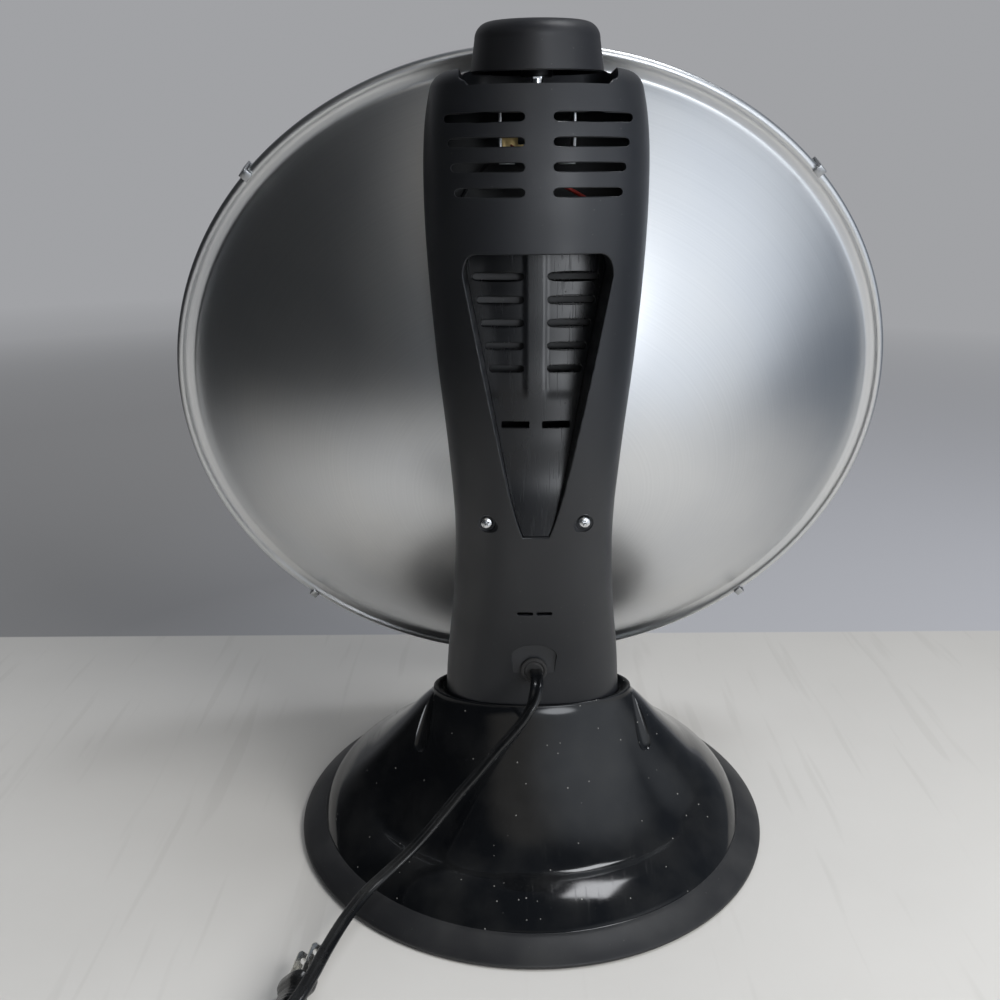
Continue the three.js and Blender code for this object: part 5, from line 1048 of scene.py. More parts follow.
def repeated(name, source, places, finish, size=1.0):
    """Copies of one piece at a list of places, each a matrix in millimetres. The source is removed."""
    mesh = bpy.data.meshes.new(name)
    mesh.from_pydata([tuple(c * MM for c in place.translation) for place in places], [], [])
    turns = mesh.attributes.new("turn", "FLOAT_VECTOR", "POINT")
    for item, place in zip(turns.data, places):
        item.vector = tuple(place.to_euler())
    piece = bpy.data.objects.new(name, mesh)
    bpy.context.collection.objects.link(piece)
    modifier = piece.modifiers.new("repeat", "NODES")
    modifier.node_group = REPEAT
    values = {"Piece": source, "Size": size, "Finish": finish}
    for item in REPEAT.interface.items_tree:
        if item.in_out == "INPUT" and item.name in values:
            modifier[item.identifier] = values[item.name]
    apply_modifiers(piece)
    discard(source)
    return mark_sharp(piece, 35)


# ------------------------------------------------------------------ screws

def cross_screw(name, head_radius, head_height, length):
    """A pan-head screw with a cross recess: the head's underside is at zero and the shank runs up."""
    crown = [(head_radius * math.cos(a), -head_height * math.sin(a) ** 0.8)
             for a in np.linspace(0.18, math.pi / 2 - 0.12, 9)]
    profile = [(0.02, -head_height)] + crown[::-1]
    profile += [(head_radius, -0.2), (head_radius - 0.12, 0), (1.6, 0), (1.6, length - 2.5),
                (1.1, length - 1.2), (0.02, length)]
    screw = cleaned(lathe_piece(name, profile, 40, []), 0)
    arm, half = head_radius * 0.56, head_radius * 0.12
    plus = [(arm, -half), (arm, half), (half, half), (half, arm), (-half, arm), (-half, half), (-arm, half),
            (-arm, -half), (-half, -half), (-half, -arm), (half, -arm), (half, -half)]
    rings = []
    for height, scale in ((-head_height - 0.5, 1.12), (-head_height * 0.15, 0.42)):
        rings.append([(x * scale, y * scale, height) for x, y in plus])
    return cut(screw, cleaned(loft_piece("recess", rings, []), 0))


def upright(x, y, z, lean=0.0, spin=0.0):
    """A place in millimetres, leant about X after a spin about its own axis."""
    leant = Matrix.Translation((x, y, z)) @ Matrix.Rotation(math.radians(lean), 4, "X")
    return leant @ Matrix.Rotation(spin, 4, "Z")


SCREW_Z = COLUMN_TOP - 209
SCREW_FLOOR = rear_surface(SHELL_SCREW_X, SCREW_Z) - 3.6


def around(radius, count, start=0.0):
    return [(radius * math.cos((i + start) / count * TAU), radius * math.sin((i + start) / count * TAU))
            for i in range(count)]


def make_screws():
    places = [upright(x, SCREW_FLOOR + 0.3, SCREW_Z, 90, spin)
              for x, spin in ((-SHELL_SCREW_X, 0.35), (SHELL_SCREW_X, 0.9))]
    shell = repeated("shell_screws", cross_screw("shell_screw", 3.2, 1.4, 32), places, CHROME)
    finish_piece(shell, "heater", ["shell_screw_left", "shell_screw_right"], "bright_plate")

    clamp_top = 1.2 + 0.3 + 3 + 0.3 + 1.4
    places = [DISH_PLACE @ upright(x, y, clamp_top + 0.3, 180, i)
              for i, (x, y) in enumerate(around(DISH_SCREW_CIRCLE, DISH_SCREWS, 0.25))]
    dish = repeated("dish_screws", cross_screw("dish_screw", 3.3, 1.4, 15.2), places, STEEL)
    finish_piece(dish, "heater", ["dish_screw_1", "dish_screw_2", "dish_screw_3"], "plated_steel")

    places = [upright(x, y, 2.7, 0, i * 0.7) for i, (x, y) in enumerate(around(PLATE_SCREW_CIRCLE, 4, 0.5))]
    plate = repeated("base_plate_screws", cross_screw("plate_screw", 3.6, 1.4, 10), places, STEEL)
    finish_piece(plate, "heater", [f"base_plate_screw_{i}" for i in range(1, 5)], "plated_steel")

    places = [upright(x, y, 91.7, 0, x * y) 
              for y in (FOOT_SCREW_REAR, FOOT_SCREW_FRONT) for x in (FOOT_SCREW_X, -FOOT_SCREW_X)]
    foot = repeated("column_foot_screws", cross_screw("foot_screw", 3.6, 1.4, 17), places, STEEL)
    finish_piece(foot, "heater", [f"column_foot_screw_{i}" for i in range(1, 5)], "plated_steel")


make_screws()


def make_underside():
    """The pressed plate that closes the bell, and the four rubber feet on it."""
    low, top, edge = 3.0, 4.2, BASE_RADIUS - 2.6 - 6.6
    profile = [(0.5, low)]
    profile += [(62 + d, low + 2.0 * math.exp(-(d / 3.0) ** 2)) for d in np.linspace(-9, 9, 19)]
    profile += [(edge - 0.4, low), (edge, low + 0.3), (edge, top - 0.3), (edge - 0.4, top)]
    profile += [(62 + d, top + 2.0 * math.exp(-(d / 3.2) ** 2)) for d in np.linspace(9, -9, 19)]
    profile += [(0.5, top)]
    plate = cleaned(lathe_piece("underside_plate", profile, 160, [STEEL]), 0)
    holes = [post("hole", SCREW_HOLE, (x, y, 0), (x, y, 6), 24)
             for x, y in around(PLATE_SCREW_CIRCLE, 4, 0.5)]
    cut(plate, joined("holes", holes))
    finish_piece(mark_sharp(plate), "heater", ["base_plate"], "plated_steel")

    profile = [(0.02, 0.5), (2.6, 0.5), (3.0, 0.1), (3.4, 0.0), (8.0, 0.0)]
    profile += [(8.2 + 0.8 * math.sin(a), 0.8 - 0.8 * math.cos(a)) for a in np.linspace(0.2, math.pi / 2, 6)]
    profile += [(9.0, 2.5), (8.8, 2.7), (0.02, 2.7)]
    pad = cleaned(lathe_piece("foot", profile, 48, []), 0)
    places = [upright(x, y, 0) for x, y in around(118, 4, 0.25)]
    feet = repeated("rubber_feet", pad, places, RUBBER)
    finish_piece(feet, "heater", [f"rubber_foot_{i}" for i in range(1, 5)], "foot_rubber")


make_underside()


# ------------------------------------------------------------------ column

def quadratic(start, control, end, count):
    points = []
    for t in np.linspace(0, 1, count, endpoint=False):
        points.append(tuple((1 - t) ** 2 * a + 2 * t * (1 - t) * b + t**2 * c
                            for a, b, c in zip(start, control, end)))
    return points


def handle_outline(offset):
    """The carry-handle opening, grown or shrunk by an offset."""
    top = PANEL_TOP + offset
    shoulder = PANEL_TOP - 9.8
    low = COLUMN_TOP - 190
    tip = COLUMN_TOP - 215 - offset * 2.2
    wide, narrow, end = 33.2 + offset, 13.3 + offset, 6.4 + offset * 0.6
    bend = tip + (low - tip) * 0.32
    right = [(x, top) for x in np.linspace(0, wide - 7, 6, endpoint=False)]
    right += quadratic((wide - 7, top), (wide, top), (wide, shoulder), 12)
    right += [(wide + (narrow - wide) * t, shoulder + (low - shoulder) * t)
              for t in np.linspace(0, 1, 24, endpoint=False)]
    right += quadratic((narrow, low), (narrow - 3.6, bend), (end, tip), 14) + [(end, tip)]
    return right + [(-x, z) for x, z in right[:0:-1]]


def slot_outline(x0, x1, z, height, corner=None):
    """A slot with round ends, or with small round corners, as a function of how far it has grown."""
    corner = height / 2 if corner is None else corner
    straight = height / 2 - corner

    def grown(offset):
        radius = corner + offset
        ends = []
        for x, side in ((x1 - corner, 1), (x0 + corner, -1)):
            for a in np.linspace(0, math.pi, 12):
                step = straight if a < math.pi / 2 else -straight
                ends.append((x + side * radius * math.sin(a), z + side * (step + radius * math.cos(a))))
        return ends
    return grown


def eased_cutter(name, outline, surface, easing, y_low, y_high=150.0):
    """A cutter through a curved face whose mouth opens with a small radius."""
    rings = [[(x, y_low, z) for x, z in outline(0)]]
    for angle in np.linspace(0, math.radians(72), 6):
        spread, depth = easing * (1 - math.cos(angle)), easing * (math.sin(angle) - 1)
        rings.append([(x, surface(x, z) + depth, z) for x, z in outline(spread)])
    slope = 0.45
    rings.append([(x, surface(x, z) + easing * slope, z) for x, z in outline(easing * (1 + slope))])
    rings.append([(x, y_high, z) for x, z in outline(easing * (1 + slope))])
    return cleaned(loft_piece(name, rings, []), 0)


def column_solid(name, ring_count, sides, inset, low, high, rounding=0.0):
    """A closed body that follows the column, drawn in by an inset."""
    rings = [column_ring(z, inset, sides) for z in np.linspace(low, high - rounding, ring_count)]
    if rounding:
        for angle in np.linspace(math.radians(8), math.radians(89), 9):
            z = high - rounding + rounding * math.sin(angle)
            rings.append(column_ring(z, inset + rounding * (1 - math.cos(angle)), sides))
    return cleaned(loft_piece(name, rings, [COLUMN]), 0)


def parting_block(behind):
    """All that lies on one side of the line where the two shells meet."""
    shift, far = (0.15, 200.0) if behind else (-0.15, -200.0)
    line = [(column_middle(z) + shift, z) for z in np.linspace(FOOT_Z - 8, COLUMN_TOP + 8, 70)]
    outline = line + [(far, COLUMN_TOP + 8), (far, FOOT_Z - 8)]
    count = len(outline)
    points = [(-100, y, z) for y, z in outline] + [(100, y, z) for y, z in outline]
    faces = [(i, (i + 1) % count, count + (i + 1) % count, count + i) for i in range(count)]
    faces += [tuple(reversed(range(count))), tuple(range(count, 2 * count))]
    return cleaned(make_piece("parting", points, faces, [], False), 0)


def panel_line(z):
    return column_rear(z) - PANEL_DEPTH(z)


PANEL_DEPTH = smooth_line([
    (COLUMN_TOP - 215, 0.25), (COLUMN_TOP - 190, 8.2), (COLUMN_TOP - 165, 20.5), (COLUMN_TOP - 135, 32),
    (COLUMN_TOP - 105, 36.5), (COLUMN_TOP - 77, 39),
])


def eased_step(value, low, high):
    t = min(1.0, max(0.0, (value - low) / (high - low)))
    return t * t * (3 - 2 * t)


def panel_face(x, z):
    """The panel's face: crowned, with a sunk slatted field on either side of a centre rib."""
    sunk = 0.4 * eased_step(abs(x), 3.6, 6.4) * eased_step(z, COLUMN_TOP - 147.5, COLUMN_TOP - 143.5)
    return panel_line(z) - 3.0 * (x / 33.2) ** 2 - sunk


def panel_slab(name, shift, thickness, columns=120, rows=110):
    """A crowned slab between the panel's face, moved by a shift, and a depth in front of it."""
    rings = []
    for z in np.linspace(COLUMN_TOP - 221, COLUMN_TOP - 71, rows):
        across = np.linspace(-40, 40, columns)
        face = [(x, panel_face(x, z) + shift, z) for x in across]
        back = [(x, panel_face(x, z) + shift - thickness, z) for x in across[::-1]]
        rings.append(face + back)
    return cleaned(loft_piece(name, rings, [PANEL_GLOSS]), 0)


def knob_pocket():
    """The well for the knob with its lower lip at the rear, as one solid."""
    front, rear, radius, half = 42.2, column_rear(COLUMN_TOP - 5.5) - 3.64, 12.0, 34.0
    corners = ((half - radius, rear - radius, 0), (-half + radius, rear - radius, 1),
               (-half + radius, front + radius, 2), (half - radius, front + radius, 3))
    outline = []
    for x, y, quarter in corners:
        outline += [(x + radius * math.cos(a), y + radius * math.sin(a))
                    for a in np.linspace(quarter * math.pi / 2, (quarter + 1) * math.pi / 2, 12)]
    rings = [[(x, y, z) for x, y in outline] for z in (COLUMN_TOP - 9.5, COLUMN_TOP + 5)]
    well = cleaned(loft_piece("well", rings, []), 0)

    def lip(offset):
        corner, low, wide = 2.6 + offset, COLUMN_TOP - 5.5 - offset, half + offset
        sides = [(wide, COLUMN_TOP + 6)]
        sides += [(wide - corner + corner * math.cos(a), low + corner - corner * math.sin(a))
                  for a in np.linspace(0, math.pi / 2, 8)]
        return sides + [(-x, z) for x, z in sides[::-1]]

    notch = eased_cutter("notch", lip, rear_surface, 1.5, 73.5)
    return cut(well, notch, "UNION")


def pocket_wall():
    """The low wall in front of the knob, which rises above the column's top."""
    front, rear, radius, half = 39.6, 112.0, 14.6, 36.6
    outline = []
    for x, y, quarter in ((half - radius, rear - radius, 0), (-half + radius, rear - radius, 1),
                          (-half + radius, front + radius, 2), (half - radius, front + radius, 3)):
        outline += [(x, y, (quarter + t) * math.pi / 2) for t in np.linspace(0, 1, 12)]
    rings = []
    for drop, inset in ((-8.0, 0.0), (4.6, 0.0), (5.4, 0.25), (6.0, 1.0), (6.1, 1.6)):
        rings.append([(x + (radius - inset) * math.cos(a), y + (radius - inset) * math.sin(a),
                       COLUMN_TOP + (drop if drop < 0 else
                                     drop - 6.4 * eased_step(y + radius * math.sin(a), 44, 66)
                                     - 4.5 * eased_step(abs(x + radius * math.cos(a)), 26, 33)))
                      for x, y, a in outline])
    wall = cleaned(loft_piece("pocket_wall", rings, [COLUMN]), 0)
    return cut(wall, box_solid("rear_half", (-60, 66, COLUMN_TOP - 20), (60, 150, COLUMN_TOP + 20)))


def shaft_hole():
    return post("shaft_hole", 4.95, on_knob((0, 0, -22)), on_knob((0, 0, 4)), 32)


def keep_side(piece, behind):
    return cut(piece, parting_block(not behind))


SLOT_DROPS = (20.8, 30.8, 40.9, 51.2)


def make_rear_shell(form):
    shell = copy_of(form)
    bpy.context.collection.objects.link(shell)
    keep_side(shell, True)

    hollow = column_solid("hollow", 60, 72, COLUMN_WALL, FOOT_Z - 1, COLUMN_TOP - 12.1)
    walls = prism_y("walls", handle_outline(2.0), 0, 150)
    cut(walls, panel_slab("behind_panel", -3.0, 120.0, 14, 40))
    middle = column_middle(SCREW_Z)
    kept = [walls, box_solid("pad", (-15, RELIEF_FACE - 3, RELIEF_Z - 15), (15, 150, RELIEF_Z + 16))]
    kept += [post("post", 6.4, (x, middle - 5, SCREW_Z), (x, 150, SCREW_Z), 32)
             for x in (-SHELL_SCREW_X, SHELL_SCREW_X)]
    kept += [post("post", 4.6, (x, FOOT_SCREW_REAR, FOOT_Z - 5), (x, FOOT_SCREW_REAR, FOOT_Z + 17), 24)
             for x in (-FOOT_SCREW_X, FOOT_SCREW_X)]
    cut(hollow, joined("kept", kept))
    cut(shell, hollow)

    cutters = [eased_cutter("handle", handle_outline, rear_surface, 1.0, 0.0)]
    for row, drop in enumerate(SLOT_DROPS):
        z = COLUMN_TOP - drop
        outer = 40.7 - row * 1.4
        for x0, x1 in ((6, outer), (-outer, -6)):
            cutters.append(eased_cutter("slot", slot_outline(x0, x1, z, 3.5), rear_surface, 0.3,
                                        column_middle(z) + 3))
    low_z = FOOT_Z + 67.5
    for x0, x1 in ((0.8, 9.2), (-9.2, -0.8)):
        cutters.append(eased_cutter("low_slot", slot_outline(x0, x1, low_z, 2.0), rear_surface, 0.3,
                                    column_middle(low_z) + 5))
    for x in (-SHELL_SCREW_X, SHELL_SCREW_X):
        profile = [(0.01, -90), (1.9, -90), (1.9, 0), (4.6, 0), (4.6, 3.0), (4.9, 3.5), (5.6, 4.6),
                   (5.6, 60), (0.01, 60)]
        place = upright(x, SCREW_FLOOR, SCREW_Z, -90)
        cutters.append(cleaned(lathe_piece("counterbore", profile, 40, [],
                                           lambda p: tuple(place @ Vector(p))), 0))
    for x in (-FOOT_SCREW_X, FOOT_SCREW_X):
        cutters.append(post("hole", SCREW_HOLE, (x, FOOT_SCREW_REAR, FOOT_Z - 8),
                            (x, FOOT_SCREW_REAR, FOOT_Z + 15), 16))
    cut(shell, joined("openings", cutters))
    cut(shell, cut(arch_cutter(), post("neck", 5.6, (0, 0, RELIEF_Z), (0, 90, RELIEF_Z), 40), "UNION"))
    cut(shell, knob_pocket())
    cut(shell, shaft_hole())
    cleaned(shell, 0.000005)
    carry_normals(shell, form)
    finish_piece(shell, "heater", ["column_rear_shell"], "column_matte")


def arch_cutter():
    """The arched flat that the cord's bushing sits on."""
    def outline(offset):
        half, high, rise = 12.4 + offset, 8.4 + offset, RELIEF_Z + 9
        points = [(half * math.cos(a), rise + high * math.sin(a)) for a in np.linspace(0, math.pi, 25)]
        return [(half * 0.8, RELIEF_Z - 13 - offset)] + points + [(-half * 0.8, RELIEF_Z - 13 - offset)]
    return eased_cutter("arch", outline, lambda x, z: max(rear_surface(x, z), RELIEF_FACE + 0.45), 0.4,
                        RELIEF_FACE)


def make_front_shell(form):
    shell = copy_of(form)
    bpy.context.collection.objects.link(shell)
    keep_side(shell, False)
    hollow = column_solid("hollow", 50, 60, COLUMN_WALL, FOOT_Z - 1, COLUMN_TOP - 12.1)
    seat = post("seat", 31, on_dish((0, 0, -15)), on_dish((0, 0, 30)), 64)
    posts = [post("post", 4.6, (x, 0, SCREW_Z), (x, 60, SCREW_Z), 24)
             for x in (-SHELL_SCREW_X, SHELL_SCREW_X)]
    for piece in (seat, *posts):
        cut(hollow, piece)
    more = [post("post", 4.6, (x, FOOT_SCREW_FRONT, FOOT_Z - 5), (x, FOOT_SCREW_FRONT, FOOT_Z + 17), 20)
            for x in (-FOOT_SCREW_X, FOOT_SCREW_X)]
    more += [post("post", 3.8, (x, 0, FOOT_Z + 72), (x, 29.7, FOOT_Z + 72), 20) for x in (-17, 17)]
    cut(hollow, joined("kept", more))
    cut(shell, hollow)
    cut(shell, post("bore", 16.9, on_dish((0, 0, -60)), on_dish((0, 0, 60)), 64))
    holes = [post("hole", SCREW_HOLE, on_dish((x, y, -9)), on_dish((x, y, 20)), 16)
             for x, y in around(DISH_SCREW_CIRCLE, DISH_SCREWS, 0.25)]
    holes += [post("hole", SCREW_HOLE, (x, column_front(SCREW_Z) + 2, SCREW_Z), (x, 90, SCREW_Z), 16)
              for x in (-SHELL_SCREW_X, SHELL_SCREW_X)]
    holes += [post("hole", SCREW_HOLE, (x, FOOT_SCREW_FRONT, FOOT_Z - 8),
                   (x, FOOT_SCREW_FRONT, FOOT_Z + 15), 16) for x in (-FOOT_SCREW_X, FOOT_SCREW_X)]
    cut(shell, joined("holes", holes))
    cut(shell, pocket_wall(), "UNION")
    cut(shell, knob_pocket())
    cut(shell, shaft_hole())
    cleaned(shell, 0.000005)
    carry_normals(shell, form)
    finish_piece(shell, "heater", ["column_front_shell"], "column_matte")


def make_column():
    form = column_solid("column_form", 120, 160, 0.0, FOOT_Z, COLUMN_TOP, TOP_ROUNDING)
    make_rear_shell(form)
    make_front_shell(form)
    discard(form)


make_column()


def make_recess_panel():
    """The glossy slatted wall inside the handle opening."""
    panel = panel_slab("recess_panel", 0.0, 2.0)
    whole = copy_of(panel)
    cut(panel, prism_y("edge", handle_outline(-0.3), 0, 150), "INTERSECT")
    cutters = []
    for row in range(5):
        z = PANEL_TOP - 12.5 - row * 10.9
        outer = 30.0 - row * 1.9
        for x0, x1 in ((5.9, outer), (-outer, -5.9)):
            cutters.append(eased_cutter("slot", slot_outline(x0, x1, z, 3.1), panel_face, 0.7, 0.0))
    for x0, x1 in ((3.2, 16.6), (-16.6, -3.2)):
        cutters.append(eased_cutter("slot", slot_outline(x0, x1, PANEL_TOP - 82.5, 3.0, 0.3), panel_face,
                                    0.4, 0.0))
    cut(panel, joined("slots", cutters))
    cleaned(panel, 0.000005)
    carry_normals(panel, whole)
    discard(whole)
    finish_piece(panel, "heater", ["handle_recess_panel"], "panel_gloss")


make_recess_panel()


# ------------------------------------------------------------------ knob and thermostat

def make_knob():
    low_r, top_r, height, rounding, wall, low = 29.3, 27.4, 21.2, 7.0, 2.4, 0.9
    profile = [(3.2, -0.5), (6.8, -0.5), (7.0, -0.3), (7.4, 16.3), (20.4, 17.3)]
    profile += [(24.9, height - rounding - wall), (low_r - wall, low + 0.3), (low_r - wall + 0.3, low),
                (low_r - 0.5, low), (low_r, low + 0.5)]
    profile += [(low_r + (top_r - low_r) * t, low + 0.5 + 12.8 * t) for t in np.linspace(0.1, 0.95, 10)]
    profile += [(top_r - rounding + rounding * math.cos(a), height - rounding + rounding * math.sin(a))
                for a in np.linspace(0, math.pi / 2, 18)]
    profile += [(r, height + 0.6 * (1 - (r / 20.4) ** 2)) for r in (16, 12, 8, 4, 0.02)]
    profile += [(0.02, 16.4), (3.2, 16.4)]
    knob = cleaned(lathe_piece("control_knob", profile, 160, [KNOB], on_knob, True), 0.000005)
    mark_sharp(knob, 38)
    finish_piece(knob, "knob", ["knob"], "knob_matte")

    low, top = 22.5 - 2.4 - 4 - 36, 22.5 - 2.4 - 4
    rings = []
    for z, radius, flat in ((low, 2.7, 9), (low + 0.3, 3, 9), (-2, 3, 9), (-1.42, 3, 9), (-1.4, 3, 2.2),
                            (top - 0.4, 3, 2.2), (top, 2.6, 2.0)):
        rings.append([on_knob((radius * math.cos(a), min(radius * math.sin(a), flat), z))
                      for a in np.linspace(0, TAU, 56, endpoint=False)])
    shaft = mark_sharp(cleaned(loft_piece("control_shaft", rings, [CHROME]), 0))
    finish_piece(shaft, "knob", ["thermostat_shaft"], "bright_plate")


make_knob()


# ------------------------------------------------------------------ dish, guard and heating element

def make_dish():
    back = [(17.0, 0.0), (24.0, 0.0), (31.0, 0.0)]
    radii = np.concatenate([np.linspace(DISH_FLAT, DISH_FLAT + 6, 5),
                            np.linspace(DISH_FLAT + 8, BOWL_RADIUS - 1.5, 58), [BOWL_RADIUS - 0.4]])
    back += [(r, bowl_rise(r)) for r in radii]
    back += [(BOWL_RADIUS + 0.4, DISH_DEPTH - 0.15), (BOWL_RADIUS + 1.4, DISH_DEPTH - 0.1),
             (BOWL_RADIUS + 3.4, DISH_DEPTH - 0.15)]
    centre = DISH_RADIUS - BEAD_RADIUS
    bead = [(centre + BEAD_RADIUS * math.cos(a), RIM_HEIGHT + BEAD_RADIUS * math.sin(a))
            for a in np.linspace(math.radians(-150), math.radians(150), 22)]
    inside = [(BOWL_RADIUS + 3.2, DISH_DEPTH + 1.2), (BOWL_RADIUS + 0.6, DISH_DEPTH + DISH_WALL)]
    inside += [(r - DISH_WALL * 0.55, bowl_rise(r) + DISH_WALL * 0.85) for r in radii[::-1][1:]]
    inside += [(31.0, DISH_WALL), (24.0, DISH_WALL), (17.0, DISH_WALL)]
    profile = back + bead + inside
    dish = cleaned(lathe_piece("reflector", profile, 288, [DISH], on_dish, True), 0.000005)
    holes = [post("hole", SCREW_HOLE, on_dish((x, y, -2)), on_dish((x, y, 4)), 20)
             for x, y in around(DISH_SCREW_CIRCLE, DISH_SCREWS, 0.25)]
    whole = copy_of(dish)
    cut(dish, joined("holes", holes))
    carry_normals(dish, whole)
    discard(whole)
    finish_piece(dish, "heater", ["reflector_dish"], "reflector_aluminium")


make_dish()

WIRE, HOOP_RADIUS = 1.25, DISH_RADIUS - 6.5
HOOP_HEIGHT = RIM_HEIGHT + BEAD_RADIUS + WIRE + 0.3


def guard_dome(radius):
    return HOOP_HEIGHT + 46 * (1 - (radius / HOOP_RADIUS) ** 2)


def round_wire(name, centres, radius, sides, finish=None):
    """A round wire along a line of points, rounded off at both ends."""
    centres = [Vector(c) for c in centres]
    first = (centres[1] - centres[0]).normalized()
    side = first.orthogonal().normalized()
    rings = []
    for i, centre in enumerate(centres):
        along = (centres[min(i + 1, len(centres) - 1)] - centres[max(i - 1, 0)]).normalized()
        side = (side - along * side.dot(along)).normalized()
        other = along.cross(side)
        scales = [(0.0, 1.0)]
        if i == 0:
            scales = [(-0.9, 0.45), (-0.5, 0.85), (0.0, 1.0)]
        if i == len(centres) - 1:
            scales += [(0.5, 0.85), (0.9, 0.45)]
        for shift, scale in scales:
            middle = centre + along * radius * shift
            rings.append([tuple(middle + (side * math.cos(TAU * s / sides)
                                          + other * math.sin(TAU * s / sides)) * radius * scale)
                          for s in range(sides)])
    return cleaned(loft_piece(name, rings, [finish] if finish else []), 0)


def make_guard():
    """Rings of bright wire with spokes welded across them."""
    hoops = []
    for ring in range(HOOPS):
        radius = HOOP_RADIUS * (ring + 0.6) / 5.6
        profile = [(radius + WIRE * math.cos(a), guard_dome(radius) + WIRE * math.sin(a))
                   for a in np.linspace(0, TAU, 12, endpoint=False)]
        hoops.append(cleaned(lathe_piece("hoop", profile, 180 if ring > 2 else 96, [], lambda p: p, True), 0))
    guard = joined("guard_wires", hoops)
    spokes = []
    for long_spoke in (True, False):
        inner = HOOP_RADIUS * 0.6 / 5.6
        start = inner * (0.4 if long_spoke else 1.02)
        line = [(r, 0, guard_dome(r) + WIRE * 1.2) for r in np.linspace(start, HOOP_RADIUS, 34)]
        places = [Matrix.Rotation((i + 0.5) / SPOKES * TAU, 4, "Z")
                  for i in range(0 if long_spoke else 1, SPOKES, 2)]
        spokes.append(repeated("spokes", round_wire("spoke", line, WIRE, 12), places, CHROME))
    welds = []
    for ring in range(HOOPS):
        radius = HOOP_RADIUS * (ring + 0.6) / 5.6
        for i in range(SPOKES):
            turn = Matrix.Rotation((i + 0.5) / SPOKES * TAU, 4, "Z")
            welds.append(turn @ Matrix.Translation((radius, 0, guard_dome(radius) + WIRE * 0.9)))
    bead = [(0.05, -0.9), (0.9, -0.75), (1.6, -0.2), (1.75, 0.25), (1.3, 0.7), (0.05, 0.9)]
    welded = repeated("welds", cleaned(lathe_piece("weld", bead, 14, []), 0), welds, CHROME)
    whole = joined("wire_guard_dressed", [guard, *spokes, welded])
    whole.data.materials.append(CHROME)
    whole.data.transform(DISH_GROUP)
    whole.data.shade_smooth()
    mark_sharp(whole, 50)
    finish_piece(whole, "heater", ["wire_guard"], "bright_plate")


DISH_GROUP = Matrix.Translation((0, DISH_Y * MM, DISH_Z * MM)) @ Matrix.Rotation(math.pi / 2 - TILT, 4, "X")
make_guard()


def make_clips():
    """Spring clips bent over the hoop and under the rolled rim."""
    for i in range(4):
        clip = from_solid(f"guard_clip_{i + 1}", STEEL, bevel=0.35)
        turn = (i + 0.5) * TAU / 4
        along = DISH_GROUP.to_3x3() @ Vector((-math.sin(turn), math.cos(turn), 0))
        middle = sum((v.co for v in clip.data.vertices), Vector()) / len(clip.data.vertices)
        for vertex in clip.data.vertices:
            vertex.co -= along * (vertex.co - middle).dot(along) * 0.42
        finish_piece(clip, "heater", [f"guard_clip_{i + 1}"], "plated_steel")


make_clips()

FLANGE_LOW, FLANGE_TOP = 1.5, 4.5
CORE_LOW = FLANGE_TOP + 1.3
CORE_LENGTH = 106.0
CLAMP_TOP = FLANGE_TOP + 0.3 + 1.4


def make_socket():
    profile = [(0.05, -24), (15, -24), (15.6, -23.8), (16.3, -23.3), (16.5, -22.7),
               (16.5, FLANGE_LOW - 0.4), (16.7, FLANGE_LOW)]
    profile += [(20.2, FLANGE_LOW), (20.6, FLANGE_LOW + 0.4), (20.6, FLANGE_TOP - 0.5), (20.1, FLANGE_TOP),
                (14.2, FLANGE_TOP), (13.7, FLANGE_TOP - 0.5)]
    for turn in range(5):
        low = FLANGE_TOP - 3 - turn * 2.9
        profile += [(13.7, low), (13.95, low - 0.7), (13.7, low - 1.4)]
    profile += [(13.7, -13.0), (13.2, -13.5), (0.05, -13.5)]
    socket = mark_sharp(cleaned(lathe_piece("lamp_socket", profile, 96, [CERAMIC], on_dish), 0))
    finish_piece(socket, "heater", ["element_socket"], "ceramic")

    profile = [(20.9, FLANGE_LOW), (30.2, FLANGE_LOW), (30.5, FLANGE_LOW + 0.3), (30.5, CLAMP_TOP - 0.8),
               (30.3, CLAMP_TOP - 0.25), (29.7, CLAMP_TOP), (17.9, CLAMP_TOP), (17.5, CLAMP_TOP - 0.3),
               (17.5, FLANGE_TOP + 0.3), (20.9, FLANGE_TOP + 0.3)]
    ring = cleaned(lathe_piece("clamp_ring", profile, 128, [STEEL], on_dish, True), 0)
    cut(ring, joined("holes", [post("hole", SCREW_HOLE, on_dish((x, y, 0)), on_dish((x, y, 9)), 20)
                               for x, y in around(DISH_SCREW_CIRCLE, DISH_SCREWS, 0.25)]))
    finish_piece(mark_sharp(ring), "heater", ["dish_clamp_ring"], "plated_steel")

    profile = [(0.05, -12.9), (3.0, -12.9), (6.6, -12.6), (7.2, -11.6), (13.2, -9.4)]
    for turn in range(4):
        low = -8.8 + turn * 3.2
        profile += [(13.25, low), (12.5, low + 0.8), (12.5, low + 1.6), (13.25, low + 2.4)]
    profile += [(13.3, CORE_LOW - 0.3), (0.05, CORE_LOW - 0.3)]
    base = cleaned(lathe_piece("element_screw_base", profile, 72, [BRASS], on_dish), 0)
    finish_piece(mark_sharp(base, 50), "heater", ["element_screw_shell"], "contact_brass")


make_socket()


def core_radius(height):
    """The ceramic cone's radius at a height above its foot, grooved where the coil lies."""
    if height < 5:
        return 16.0
    if height < 6:
        return 15.0 + math.sqrt(max(0.0, 1 - (height - 5) ** 2))
    taper = 14.2 + (11 - 14.2) * min(1.0, (height - 7) / (CORE_LENGTH - 9))
    if height > CORE_LENGTH - 2:
        taper -= (height - CORE_LENGTH + 2)
    return taper


